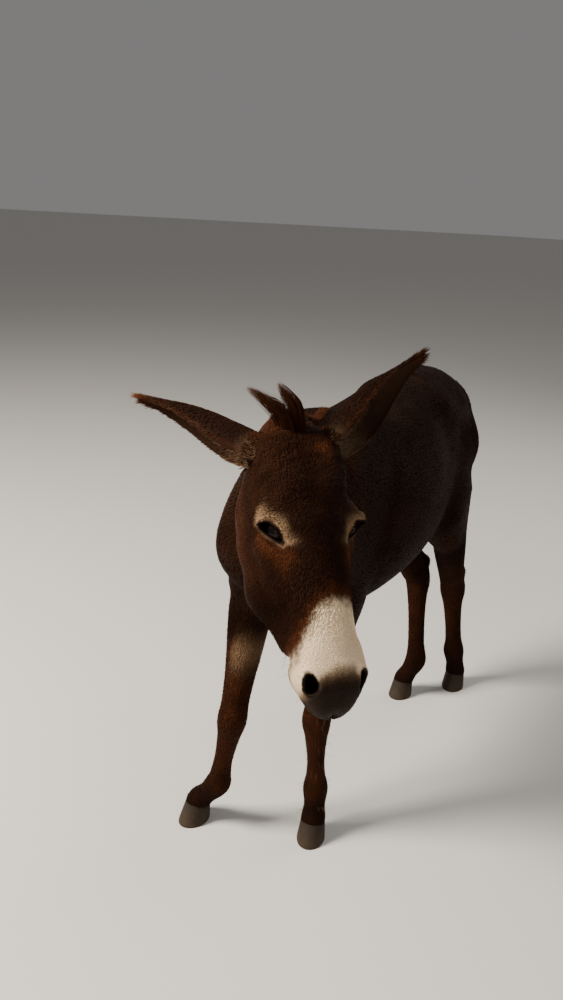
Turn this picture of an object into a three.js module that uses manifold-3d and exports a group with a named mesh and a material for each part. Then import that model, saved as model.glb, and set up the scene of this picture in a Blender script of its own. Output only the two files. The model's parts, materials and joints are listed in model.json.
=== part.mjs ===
// A life-size standing donkey: lowered head turned to its left, ears held out sideways,
// right forefoot set forward and out. The body is one blended form, sampled on a grid,
// thinned to few facets and parted by plane cuts; ears, eyes, hooves, tail and the
// standing hair are lofted on their own.
// Millimetres. X is forward, Y is to the animal's left, Z is up, the floor is z = 0.
import * as THREE from 'three';
import Module from 'manifold-3d';

const wasm = await Module();
wasm.setup();

// ---- Driving sizes ----
const gap = 0.3;                 // clearance between neighbouring pieces
const gridCell = 8;              // spacing of the sampling grid of the body
const bodyFacets = 3950;         // facets left in the blended body before it is parted
const withersHeight = 1072;
const croupHeight = 1106;
const elbowHeight = 625;
const kneeHeight = 335;
const hockHeight = 385;
const fetlockHeight = 132;
const coronetHeight = 50;
const earLength = 303;
const earWidth = 84;
const earThickness = 7;
const eyeRadius = 20;
const eyeSpread = 63;            // from the middle of the face to the eyeball's centre
const eyeDepth = -47;            // below the line of the brow
const eyeAlong = 176;            // from the poll along the face
const hoofLength = 96;           // on the floor; the top of the wall is shorter and narrower
const hoofWidth = 72;
const hoofTopLength = 69;
const hoofTopWidth = 62;
const maneHeight = 19;
const maneThickness = 20;
const tailLength = 640;

const v3 = (x, y, z) => new THREE.Vector3(x, y, z);
const mix = THREE.MathUtils.lerp;

// ---- The head's own frame: x runs from poll to muzzle, y to its left, z out of the brow ----
const pollPoint = v3(664, 206, 1160);
const noseDirection = v3(0.44, 0.51, -0.74).normalize();
const browDirection = v3(0.412, 0.617, 0.67).normalize();
const headFrame = (() => {
  const x = noseDirection.clone();
  const y = new THREE.Vector3().crossVectors(browDirection, x).normalize();
  const z = new THREE.Vector3().crossVectors(x, y);
  return new THREE.Matrix4().makeBasis(x, y, z).setPosition(pollPoint);
})();
const onHead = (x, y, z) => v3(x, y, z).applyMatrix4(headFrame);
const turnedByHead = (x, y, z) => v3(x, y, z).transformDirection(headFrame);

// ---- Blended form ----

// A limb is a chain of oval sections along a curve through its stations. A station is
// [point, lift reach, drop reach, side reach]; lift is the direction that lift reach points in.
// A section's end is rounded by cap at both tips of the chain and by joint in between.
function limb(stations, { lift, square = 2, cap = 30, joint = Infinity, blend = 40, steps = 4 }) {
  const count = (stations.length - 1) * steps;
  const at = (i) => stations[Math.min(Math.max(i, 0), stations.length - 1)];
  const cubic = (a, b, c, d, t) =>
    b + 0.5 * t * (c - a + t * (2 * a - 5 * b + 4 * c - d + t * (3 * (b - c) + d - a)));
  const sample = (k) => {
    const i = Math.min(Math.floor(k / steps), stations.length - 2);
    const t = k / steps - i;
    const [a, b, c, d] = [at(i - 1), at(i), at(i + 1), at(i + 2)];
    const point = v3(...['x', 'y', 'z'].map((n) => cubic(a[0][n], b[0][n], c[0][n], d[0][n], t)));
    return [point, ...[1, 2, 3].map((n) => Math.max(1, cubic(a[n], b[n], c[n], d[n], t)))];
  };
  const rings = Array.from({ length: count + 1 }, (_, k) => sample(k));
  const parts = [];
  for (let k = 0; k < count; k++) {
    const [from, to] = [rings[k], rings[k + 1]];
    const along = to[0].clone().sub(from[0]);
    const length = along.length();
    along.normalize();
    const up = lift.clone().addScaledVector(along, -lift.dot(along)).normalize();
    const side = new THREE.Vector3().crossVectors(up, along);
    parts.push({ from, to, along, length, up, side, first: k === 0, last: k === count - 1 });
  }
  const box = new THREE.Box3();
  for (const [p, up, down, side] of rings) {
    const r = Math.max(up, down, side);
    box.expandByPoint(p.clone().addScalar(r)).expandByPoint(p.clone().addScalar(-r));
  }
  box.expandByScalar(cap);
  const near = parts.map((s) => s.from[0].clone().add(s.to[0]).multiplyScalar(0.5));
  const reach = parts.map((s) => s.length / 2 + Math.max(...s.from.slice(1), ...s.to.slice(1)));
  const distance = (x, y, z) => {
    let best = 1e9;
    for (let k = 0; k < parts.length; k++) {
      const c = near[k];
      const rough = Math.sqrt((x - c.x) ** 2 + (y - c.y) ** 2 + (z - c.z) ** 2) - reach[k] - cap;
      if (rough > best) continue;
      const s = parts[k];
      const o = s.from[0];
      const [dx, dy, dz] = [x - o.x, y - o.y, z - o.z];
      const run = dx * s.along.x + dy * s.along.y + dz * s.along.z;
      const t = Math.min(Math.max(run / s.length, 0), 1);
      const over = run - t * s.length;
      const u = dx * s.up.x + dy * s.up.y + dz * s.up.z;
      const v = dx * s.side.x + dy * s.side.y + dz * s.side.z;
      const rise = u > 0 ? mix(s.from[1], s.to[1], t) : mix(s.from[2], s.to[2], t);
      const half = mix(s.from[3], s.to[3], t);
      const [a, b] = [Math.abs(u) / rise, Math.abs(v) / half];
      let q = square === 2 ? Math.sqrt(a * a + b * b) : (a ** square + b ** square) ** (1 / square);
      const tip = (over < 0 && s.first) || (over > 0 && s.last);
      const rounding = tip ? cap : joint;
      let flat = u * u + v * v;
      if (over !== 0 && rounding < Infinity) {
        q = Math.sqrt(q * q + (over / rounding) ** 2);
        flat += over * over;
      }
      const full = Math.sqrt(u * u + v * v + over * over);
      const d = q < 1e-6 ? -Math.min(rise, half) : full - Math.sqrt(flat) / q;
      if (d < best) best = d;
    }
    return best;
  };
  return { distance, blend, box };
}

// A muscle is a rounded cone from a to b, optionally squashed along one direction.
function muscle(a, b, ra, rb, blend = 40, squash = null, ratio = 1) {
  const along = b.clone().sub(a);
  const square = along.lengthSq();
  const box = new THREE.Box3().setFromPoints([a, b]).expandByScalar(Math.max(ra, rb));
  const distance = (x, y, z) => {
    let [dx, dy, dz] = [x - a.x, y - a.y, z - a.z];
    const t = square === 0 ? 0 : (dx * along.x + dy * along.y + dz * along.z) / square;
    const s = Math.min(Math.max(t, 0), 1);
    dx -= along.x * s;
    dy -= along.y * s;
    dz -= along.z * s;
    if (squash) {
      const w = (dx * squash.x + dy * squash.y + dz * squash.z) * (ratio - 1);
      dx += squash.x * w;
      dy += squash.y * w;
      dz += squash.z * w;
    }
    const d = Math.sqrt(dx * dx + dy * dy + dz * dz) - mix(ra, rb, s);
    return squash && d < 0 ? d / ratio : d;
  };
  return { distance, blend, box };
}

const softMin = (a, b, k) => {
  const h = Math.max(k - Math.abs(a - b), 0) / k;
  return Math.min(a, b) - h * h * k / 4;
};

const bodyForms = [];
const bodyHollows = [];
const upward = v3(0, 0, 1);
const forward = v3(1, 0, 0);
const sideways = v3(0, 1, 0);

// Trunk: [x, y of the spine, top, bottom, widest level, half width]
const trunkSections = [
  [-480, 10, 1030, 730, 882, 96],
  [-466, 10, 1052, 706, 886, 120],
  [-450, 10, 1072, 690, 888, 138],
  [-380, 10, croupHeight - 4, 664, 884, 150],
  [-300, 10, croupHeight - 2, 636, 868, 160],
  [-200, 10, 1084, 602, 832, 178],
  [-90, 12, 1062, 576, 808, 194],
  [30, 14, 1052, 566, 802, 196],
  [140, 18, 1056, 568, 806, 182],
  [240, 24, withersHeight, 586, 818, 156],
  [320, 28, 1046, 600, 818, 150],
  [390, 26, 985, 620, 800, 148],
  [440, 24, 915, 650, 782, 126],
  [474, 24, 856, 694, 774, 88],
];
const trunkStation = ([x, y, top, bottom, level, half]) =>
  [v3(x, y, level), top - level, level - bottom, half];
bodyForms.push(limb(
  trunkSections.map(trunkStation),
  { lift: upward, square: 2.15, cap: 26, joint: 26, blend: 1, steps: 4 },
));

// Neck: from inside the chest to the back of the skull.
bodyForms.push(limb([
  [v3(215, 22, 872), 172, 176, 106],
  [v3(330, 36, 918), 146, 168, 92],
  [v3(440, 70, 974), 126, 146, 76],
  [v3(545, 120, 1028), 102, 122, 66],
  [onHead(40, 0, -94), 74, 92, 58],
], { lift: upward, square: 2, cap: 40, blend: 60 }));

// Shoulders and upper arms; the right one reaches forward with its leg.
for (const [side, swing] of [[1, 0], [-1, 34]]) {
  const y = (d) => 18 + side * d;
  const lean = swing / 2;
  bodyForms.push(muscle(v3(245, y(50), 1000), v3(380 + lean, y(80), 805), 50, 62, 60, sideways, 1.3));
  bodyForms.push(muscle(v3(390 + lean, y(74), 775), v3(300 + swing, y(92), 670), 58, 56, 50));
  bodyForms.push(muscle(v3(225, y(80), 880), v3(266 + swing, y(98), 660), 72, 50, 60, sideways, 1.4));
  bodyForms.push(muscle(v3(300, y(54), 690), v3(330 + swing, y(34), 640), 60, 44, 50));
}

// Hindquarters: hip, thigh, stifle and buttock.
for (const side of [1, -1]) {
  const y = (d) => 10 + side * d;
  bodyForms.push(muscle(v3(-350, y(72), 975), v3(-440, y(78), 880), 70, 76, 40));
  bodyForms.push(muscle(v3(-400, y(84), 850), v3(-305, y(104), 700), 78, 68, 70, sideways, 1.2));
  bodyForms.push(muscle(v3(-468, y(46), 978), v3(-498, y(62), 880), 46, 58, 40));
  bodyForms.push(muscle(v3(-498, y(62), 880), v3(-462, y(76), 690), 58, 68, 40));
  bodyForms.push(muscle(v3(-246, y(96), 1002), v3(-266, y(98), 990), 28, 28, 80));
}

// ---- Legs ----
// Each leg: joints from top to floor, the heading of the toe in degrees (left is positive).
const legs = {
  fore_left: { side: 1, elbow: v3(278, 112, elbowHeight), knee: v3(305, 96, kneeHeight),
    fetlock: v3(292, 100, fetlockHeight), foot: v3(316, 110, 0), toe: 14 },
  fore_right: { side: -1, elbow: v3(326, -82, elbowHeight), knee: v3(416, -74, kneeHeight - 5),
    fetlock: v3(414, -112, fetlockHeight - 4), foot: v3(424, -172, 0), toe: -12 },
  hind_left: { side: 1, stifle: v3(-305, 138, 690), knee: v3(-512, 128, hockHeight),
    fetlock: v3(-588, 134, fetlockHeight), foot: v3(-590, 146, 0), toe: 6 },
  hind_right: { side: -1, stifle: v3(-285, -76, 690), knee: v3(-502, 12, hockHeight + 8),
    fetlock: v3(-450, 56, fetlockHeight), foot: v3(-438, 22, 0), toe: -6 },
};
const between = (a, b, t) => a.clone().lerp(b, t);
const shifted = (p, x, y, z) => p.clone().add(v3(x, y, z));
for (const [name, leg] of Object.entries(legs)) {
  const heading = THREE.MathUtils.degToRad(leg.toe);
  leg.ahead = v3(Math.cos(heading), Math.sin(heading), 0);
  leg.coronet = leg.foot.clone().addScaledVector(leg.ahead, -10).setZ(coronetHeight);
  const inHoof = leg.foot.clone().addScaledVector(leg.ahead, -2).setZ(18);
  const pastern = between(leg.fetlock, leg.coronet, 0.55).addScaledVector(leg.ahead, -3);
  if (name.startsWith('fore')) {
    bodyForms.push(limb([
      [shifted(leg.elbow, 6, -leg.side * 6, 55), 66, 62, 52],
      [leg.elbow, 56, 62, 48],
      [between(leg.elbow, leg.knee, 0.3), 51, 51, 46],
      [between(leg.elbow, leg.knee, 0.62), 41, 40, 39],
      [between(leg.elbow, leg.knee, 0.86), 36, 36, 35],
      [leg.knee, 37, 37, 37],
      [between(leg.knee, leg.fetlock, 0.22), 29, 34, 31],
      [between(leg.knee, leg.fetlock, 0.55), 24, 30, 25],
      [between(leg.knee, leg.fetlock, 0.82), 25, 32, 27],
      [leg.fetlock, 30, 35, 33],
      [pastern, 27, 29, 28],
      [leg.coronet, 33, 32, 33],
      [inHoof, 26, 22, 24],
    ], { lift: leg.ahead, cap: 10, blend: 45, steps: 3 }));
    const pointOfElbow = shifted(leg.elbow, -36, leg.side * 4, 18);
    bodyForms.push(muscle(pointOfElbow, shifted(leg.elbow, -22, 0, -40), 30, 20, 40));
    const forearm = between(leg.elbow, leg.knee, 0.5);
    bodyForms.push(muscle(shifted(leg.elbow, 26, leg.side * 10, -30), forearm, 34, 22, 30));
  } else {
    const hock = leg.knee;
    const tip = hock.clone().add(v3(-46, 0, 44));
    bodyForms.push(limb([
      [shifted(leg.stifle, -76, -leg.side * 16, 70), 92, 96, 60],
      [shifted(leg.stifle, -66, -leg.side * 6, 4), 82, 92, 58],
      [between(leg.stifle, hock, 0.38).add(v3(-24, 0, 4)), 66, 72, 49],
      [between(leg.stifle, hock, 0.68).add(v3(-10, 0, 2)), 50, 55, 41],
      [between(leg.stifle, hock, 0.88), 40, 48, 36],
      [hock, 40, 43, 39],
      [between(hock, leg.fetlock, 0.22), 33, 39, 32],
      [between(hock, leg.fetlock, 0.5), 28, 34, 28],
      [between(hock, leg.fetlock, 0.8), 28, 34, 28],
      [leg.fetlock, 31, 36, 34],
      [pastern, 28, 30, 29],
      [leg.coronet, 33, 32, 33],
      [inHoof, 25, 21, 23],
    ], { lift: leg.ahead, cap: 10, blend: 55, steps: 3 }));
    bodyForms.push(muscle(tip, hock.clone().add(v3(-10, 0, -12)), 18, 27, 22));
    bodyForms.push(muscle(tip, between(leg.stifle, hock, 0.5).add(v3(-62, 0, 26)), 13, 22, 26));
    bodyForms.push(muscle(shifted(leg.stifle, 6, 0, 6), shifted(leg.stifle, -30, 0, -60), 48, 40, 50));
  }
}

// ---- Head ----
// Skull and nose: [x, level, rise, drop, half width]
const skullSections = [
  [0, -66, 42, 62, 50],
  [45, -72, 70, 88, 70],
  [100, -78, 82, 104, 78],
  [160, -82, 86, 104, 80],
  [215, -82, 78, 92, 70],
  [270, -79, 68, 70, 61],
  [325, -76, 59, 54, 54],
  [375, -77, 52, 44, 54],
  [414, -80, 46, 38, 55],
  [438, -87, 36, 28, 44],
];
const headForms = [];
headForms.push(limb(
  skullSections.map(([x, level, rise, drop, half]) => [onHead(x, 0, level), rise, drop, half]),
  { lift: turnedByHead(0, 0, 1), square: 2.25, cap: 16, blend: 1, steps: 2 },
));
headForms.push(muscle(onHead(122, 0, -168), onHead(250, 0, -140), 40, 27, 40));
headForms.push(muscle(onHead(394, 0, -112), onHead(420, 0, -114), 28, 24, 18));
headForms.push(muscle(onHead(418, 0, -76), onHead(434, 0, -88), 36, 31, 22));
for (const side of [1, -1]) {
  headForms.push(muscle(onHead(112, side * 52, -146), onHead(168, side * 54, -128), 54, 46, 26,
    turnedByHead(0, 1, 0), 1.7));
  headForms.push(muscle(onHead(146, side * 76, -34), onHead(168, side * 86, -35), 21, 17, 24));
  headForms.push(muscle(onHead(172, side * 54, -150), onHead(252, side * 53, -147), 32, 30, 26));
  headForms.push(muscle(onHead(252, side * 53, -147), onHead(346, side * 41, -122), 30, 18, 26));
  headForms.push(muscle(onHead(190, side * 74, -78), onHead(280, side * 50, -80), 16, 11, 26));
  headForms.push(muscle(onHead(110, side * 42, -22), onHead(44, side * 46, -34), 24, 28, 40));
  headForms.push(muscle(onHead(384, side * 33, -60), onHead(414, side * 37, -63), 18, 19, 20));
  headForms.push(muscle(onHead(404, side * 32, -98), onHead(432, side * 16, -102), 25, 21, 20));
}
bodyForms.push({
  blend: 46,
  box: headForms.reduce((box, form) => box.union(form.box), new THREE.Box3()),
  distance: (x, y, z) => headForms.reduce(
    (d, form, i) => i === 0 ? form.distance(x, y, z) : softMin(d, form.distance(x, y, z), form.blend), 0),
});
for (const side of [1, -1]) {
  bodyHollows.push(muscle(onHead(122, side * 84, -14), onHead(138, side * 88, -18), 10, 10, 26));
  bodyHollows.push(muscle(onHead(182, side * 84, -23), onHead(196, side * 82, -26), 18, 17, 9));
}

function bodyDistance(x, y, z) {
  let d = 1e9;
  for (const form of bodyForms) {
    const box = form.box;
    const away = Math.max(box.min.x - x, x - box.max.x, box.min.y - y, y - box.max.y,
      box.min.z - z, z - box.max.z);
    if (away > form.blend + gridCell * 8) {
      d = Math.min(d, away);
    } else {
      d = softMin(d, form.distance(x, y, z), form.blend);
    }
  }
  for (const hollow of bodyHollows) {
    d = -softMin(-d, hollow.distance(x, y, z), hollow.blend);
  }
  return d;
}

// ---- Sampling the form into a closed surface ----
// One point in every cell the surface crosses, one quad for every grid edge it crosses.
function surfaceOf(distance, box, cell) {
  const size = box.getSize(new THREE.Vector3()).divideScalar(cell).ceil();
  const [nx, ny, nz] = [size.x + 3, size.y + 3, size.z + 3];
  const origin = box.min.clone().subScalar(cell);
  const values = new Float32Array(nx * ny * nz);
  const index = (i, j, k) => i + nx * (j + ny * k);
  const block = 6;
  for (let k0 = 0; k0 < nz; k0 += block) {
    for (let j0 = 0; j0 < ny; j0 += block) {
      for (let i0 = 0; i0 < nx; i0 += block) {
        const middle = (block - 1) / 2 * cell;
        const corners = [i0, j0, k0].map((n) => n * cell + middle);
        const near = distance(origin.x + corners[0], origin.y + corners[1], origin.z + corners[2]);
        const far = Math.abs(near) > block * cell * 1.5;
        for (let k = k0; k < Math.min(k0 + block, nz); k++) {
          for (let j = j0; j < Math.min(j0 + block, ny); j++) {
            for (let i = i0; i < Math.min(i0 + block, nx); i++) {
              values[index(i, j, k)] = far ? near
                : distance(origin.x + i * cell, origin.y + j * cell, origin.z + k * cell);
            }
          }
        }
      }
    }
  }
  const corner = [0, 1, 2, 3, 4, 5, 6, 7].map((c) => [c & 1, (c >> 1) & 1, c >> 2]);
  const edges = [];
  for (let a = 0; a < 8; a++) {
    for (const bit of [1, 2, 4]) {
      if (!(a & bit)) edges.push([a, a | bit]);
    }
  }
  const points = [];
  const pointOf = new Int32Array(nx * ny * nz).fill(-1);
  for (let k = 0; k < nz - 1; k++) {
    for (let j = 0; j < ny - 1; j++) {
      for (let i = 0; i < nx - 1; i++) {
        const v = corner.map(([a, b, c]) => values[index(i + a, j + b, k + c)]);
        const sum = [0, 0, 0];
        let crossings = 0;
        for (const [a, b] of edges) {
          if ((v[a] < 0) === (v[b] < 0)) continue;
          const t = v[a] / (v[a] - v[b]);
          crossings++;
          for (let n = 0; n < 3; n++) sum[n] += mix(corner[a][n], corner[b][n], t);
        }
        if (crossings === 0) continue;
        pointOf[index(i, j, k)] = points.length / 3;
        points.push(
          origin.x + (i + sum[0] / crossings) * cell,
          origin.y + (j + sum[1] / crossings) * cell,
          origin.z + (k + sum[2] / crossings) * cell,
        );
      }
    }
  }
  const faces = [];
  const step = [1, nx, nx * ny];
  for (let k = 1; k < nz - 1; k++) {
    for (let j = 1; j < ny - 1; j++) {
      for (let i = 1; i < nx - 1; i++) {
        const here = index(i, j, k);
        for (let axis = 0; axis < 3; axis++) {
          const [b, c] = [step[(axis + 1) % 3], step[(axis + 2) % 3]];
          const inside = values[here] < 0;
          if (inside === (values[here + step[axis]] < 0)) continue;
          const ring = [here, here - b, here - b - c, here - c].map((n) => pointOf[n]);
          const quad = inside ? ring : ring.reverse();
          faces.push(quad[0], quad[1], quad[2], quad[0], quad[2], quad[3]);
        }
      }
    }
  }
  return { points, faces };
}

// ---- Thinning ----
// Collapses the cheapest edge again and again; the cost is the squared distance to the
// planes of the faces already merged, weighted so that finer regions keep more facets.
function thin({ points, faces }, target, weightAt) {
  const count = points.length / 3;
  const planes = new Float64Array(count * 10);
  const around = Array.from({ length: count }, () => new Set());
  const tri = new Int32Array(faces);
  const alive = new Uint8Array(tri.length / 3).fill(1);
  const stamp = new Int32Array(count);
  const [p0, p1, p2, n] = [v3(), v3(), v3(), v3()];
  const load = (v, i) => v.set(points[3 * i], points[3 * i + 1], points[3 * i + 2]);
  for (let f = 0; f < alive.length; f++) {
    const [a, b, c] = [tri[3 * f], tri[3 * f + 1], tri[3 * f + 2]];
    load(p0, a);
    load(p1, b);
    load(p2, c);
    n.crossVectors(p1.clone().sub(p0), p2.clone().sub(p0));
    const area = n.length();
    if (area > 0) n.divideScalar(area);
    const w = area * weightAt(p0);
    const d = -n.dot(p0);
    const q = [n.x * n.x, n.x * n.y, n.x * n.z, n.x * d, n.y * n.y, n.y * n.z, n.y * d,
      n.z * n.z, n.z * d, d * d];
    for (const v of [a, b, c]) {
      around[v].add(f);
      for (let m = 0; m < 10; m++) planes[10 * v + m] += q[m] * w;
    }
  }
  const cost = (q, x, y, z) =>
    q[0] * x * x + 2 * q[1] * x * y + 2 * q[2] * x * z + 2 * q[3] * x + q[4] * y * y
    + 2 * q[5] * y * z + 2 * q[6] * y + q[7] * z * z + 2 * q[8] * z + q[9];
  const solver = new THREE.Matrix3();
  const plan = (a, b) => {
    const q = Array.from({ length: 10 }, (_, m) => planes[10 * a + m] + planes[10 * b + m]);
    load(p0, a);
    load(p1, b);
    const middle = p0.clone().add(p1).multiplyScalar(0.5);
    const pull = (q[0] + q[4] + q[7]) * 0.004;
    solver.set(q[0] + pull, q[1], q[2], q[1], q[4] + pull, q[5], q[2], q[5], q[7] + pull).invert();
    const best = v3(pull * middle.x - q[3], pull * middle.y - q[6], pull * middle.z - q[8])
      .applyMatrix3(solver);
    const spread = p0.distanceToSquared(p1);
    const good = Number.isFinite(best.x) && best.distanceToSquared(middle) < spread;
    const to = good ? best : middle;
    return { a, b, to, stampA: stamp[a], stampB: stamp[b],
      cost: Math.max(0, cost(q, to.x, to.y, to.z)) + spread * 1e-3 * (q[0] + q[4] + q[7]) * 0.01 };
  };
  const heap = [];
  const push = (item) => {
    let i = heap.length;
    heap.push(item);
    while (i > 0) {
      const up = (i - 1) >> 1;
      if (heap[up].cost <= item.cost) break;
      heap[i] = heap[up];
      i = up;
    }
    heap[i] = item;
  };
  const pop = () => {
    const top = heap[0];
    const last = heap.pop();
    if (heap.length > 0) {
      let i = 0;
      for (;;) {
        let child = 2 * i + 1;
        if (child >= heap.length) break;
        if (child + 1 < heap.length && heap[child + 1].cost < heap[child].cost) child++;
        if (heap[child].cost >= last.cost) break;
        heap[i] = heap[child];
        i = child;
      }
      heap[i] = last;
    }
    return top;
  };
  const neighbours = (v) => {
    const found = new Set();
    for (const f of around[v]) {
      for (let m = 0; m < 3; m++) found.add(tri[3 * f + m]);
    }
    found.delete(v);
    return found;
  };
  for (let v = 0; v < count; v++) {
    for (const w of neighbours(v)) {
      if (v < w) push(plan(v, w));
    }
  }
  const facing = ([a, b, c]) => new THREE.Vector3().crossVectors(b.clone().sub(a), c.clone().sub(a));
  const turnsOver = (v, other, to) => {
    for (const f of around[v]) {
      const ids = [tri[3 * f], tri[3 * f + 1], tri[3 * f + 2]];
      if (ids.includes(other)) continue;
      const before = ids.map((i) => load(v3(), i));
      const after = ids.map((i, m) => i === v ? to : before[m]);
      const [n0, n1] = [facing(before), facing(after)];
      if (n0.dot(n1) < 0.25 * n0.length() * n1.length() || n1.lengthSq() < 1e-6) return true;
    }
    return false;
  };
  let left = alive.length;
  while (left > target && heap.length > 0) {
    const { a, b, to, stampA, stampB } = pop();
    if (stampA !== stamp[a] || stampB !== stamp[b]) continue;
    const [ringA, ringB] = [neighbours(a), neighbours(b)];
    const shared = [...ringA].filter((v) => ringB.has(v));
    if (shared.length !== 2 || turnsOver(a, b, to) || turnsOver(b, a, to)) continue;
    points[3 * a] = to.x;
    points[3 * a + 1] = to.y;
    points[3 * a + 2] = to.z;
    for (let m = 0; m < 10; m++) planes[10 * a + m] += planes[10 * b + m];
    for (const f of around[b]) {
      if ([tri[3 * f], tri[3 * f + 1], tri[3 * f + 2]].includes(a)) {
        for (let m = 0; m < 3; m++) around[tri[3 * f + m]].delete(f);
        alive[f] = 0;
        left--;
      } else {
        for (let m = 0; m < 3; m++) {
          if (tri[3 * f + m] === b) tri[3 * f + m] = a;
        }
        around[a].add(f);
      }
    }
    around[b].clear();
    stamp[a]++;
    stamp[b]++;
    for (const v of neighbours(a)) push(plan(a, v));
  }
  const renumber = new Map();
  const keptPoints = [];
  const keptFaces = [];
  for (let f = 0; f < alive.length; f++) {
    if (!alive[f]) continue;
    for (let m = 0; m < 3; m++) {
      const v = tri[3 * f + m];
      if (!renumber.has(v)) {
        renumber.set(v, keptPoints.length / 3);
        keptPoints.push(points[3 * v], points[3 * v + 1], points[3 * v + 2]);
      }
      keptFaces.push(renumber.get(v));
    }
  }
  return { points: keptPoints, faces: keptFaces };
}

// ---- Solids ----
function solidOf({ points, faces }) {
  const built = (order) => new wasm.Manifold(new wasm.Mesh({
    numProp: 3, vertProperties: new Float32Array(points), triVerts: new Uint32Array(order) }));
  const solid = built(faces);
  return solid.volume() < 0 ? built(faces.slice().reverse()) : solid;
}

// A closed skin over rings of equal length; the two ends are fanned shut.
function loft(rings) {
  const points = [];
  const faces = [];
  const size = rings[0].length;
  for (const ring of rings) {
    for (const p of ring) points.push(p.x, p.y, p.z);
  }
  for (let r = 0; r + 1 < rings.length; r++) {
    for (let i = 0; i < size; i++) {
      const [a, b] = [r * size + i, r * size + (i + 1) % size];
      faces.push(a, b + size, b, a, a + size, b + size);
    }
  }
  for (const [r, turned] of [[0, true], [rings.length - 1, false]]) {
    const middle = rings[r].reduce((sum, p) => sum.add(p), v3()).divideScalar(size);
    const hub = points.length / 3;
    points.push(middle.x, middle.y, middle.z);
    for (let i = 0; i < size; i++) {
      const [a, b] = [r * size + i, r * size + (i + 1) % size];
      if (turned) faces.push(hub, a, b);
      else faces.push(hub, b, a);
    }
  }
  return solidOf({ points, faces });
}

function solidFromGeometry(geometry, matrix) {
  geometry.applyMatrix4(matrix);
  const position = geometry.attributes.position;
  const seen = new Map();
  const points = [];
  const ids = [];
  for (let i = 0; i < position.count; i++) {
    const p = [position.getX(i), position.getY(i), position.getZ(i)];
    const key = p.map((value) => Math.round(value * 1e4)).join();
    if (!seen.has(key)) {
      seen.set(key, points.length / 3);
      points.push(...p);
    }
    ids.push(seen.get(key));
  }
  const order = geometry.index ? Array.from(geometry.index.array, (i) => ids[i]) : ids;
  const faces = [];
  for (let i = 0; i < order.length; i += 3) {
    const [a, b, c] = order.slice(i, i + 3);
    if (a !== b && b !== c && a !== c) faces.push(a, b, c);
  }
  return solidOf({ points, faces });
}

// A box that starts on the plane through `at` and reaches `depth` along `toward`.
function sideOf(at, toward, depth, width, inset) {
  const turn = new THREE.Quaternion().setFromUnitVectors(upward, toward.clone().normalize());
  const middle = at.clone().addScaledVector(toward.clone().normalize(), depth / 2 + inset);
  return solidFromGeometry(new THREE.BoxGeometry(width, width, depth),
    new THREE.Matrix4().compose(middle, turn, v3(1, 1, 1)));
}

const ball = (center, radius) => solidFromGeometry(new THREE.SphereGeometry(radius, 12, 8),
  new THREE.Matrix4().compose(center, new THREE.Quaternion().setFromRotationMatrix(headFrame)
    .multiply(new THREE.Quaternion().setFromAxisAngle(v3(1, 0, 0), Math.PI / 2)), v3(1, 1, 1)));

const bodyBox = new THREE.Box3(v3(-700, -300, -10), v3(960, 520, 1240));
const surface = surfaceOf(bodyDistance, bodyBox, gridCell);
const headBall = new THREE.Sphere(onHead(230, 0, -80), 270);
const facetWeight = (p) => {
  const onFace = headBall.containsPoint(p) ? 5 : 1;
  const onShank = p.z < 470 ? 5 : 1;
  return Math.max(onFace, onShank);
};
let body = solidOf(thin(surface, bodyFacets, facetWeight));

// Where a straight line from inside the body comes out.
function exitPoint(from, direction) {
  const p = from.clone();
  for (let i = 0; i < 200; i++) {
    const d = bodyDistance(p.x, p.y, p.z);
    if (d > -0.2) break;
    p.addScaledVector(direction, Math.max(0.3, -d * 0.5));
  }
  return p;
}

// ---- Hooves ----
const hoofRing = (leg, length, width, shift, tilt, z) => Array.from({ length: 16 }, (_, i) => {
  const turn = i / 16 * Math.PI * 2;
  const along = Math.cos(turn) * length / 2 * (Math.cos(turn) < 0 ? 0.9 : 1) + shift;
  const aside = Math.sin(turn) * width / 2 * (1 - 0.12 * Math.max(0, -Math.cos(turn)));
  const across = v3(leg.ahead.y, -leg.ahead.x, 0);
  return leg.foot.clone().addScaledVector(leg.ahead, along).addScaledVector(across, aside)
    .setZ(z + tilt * along);
});
const coronetTilt = 0.22;
const hooves = {};
for (const [name, leg] of Object.entries(legs)) {
  const wall = [0, 0.5, 1].map((t) => hoofRing(leg,
    mix(hoofLength, hoofTopLength, t), mix(hoofWidth, hoofTopWidth, t),
    mix(0, -12, t), t * coronetTilt, t * (coronetHeight - gap)));
  hooves[name] = loft(wall);
}

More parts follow.
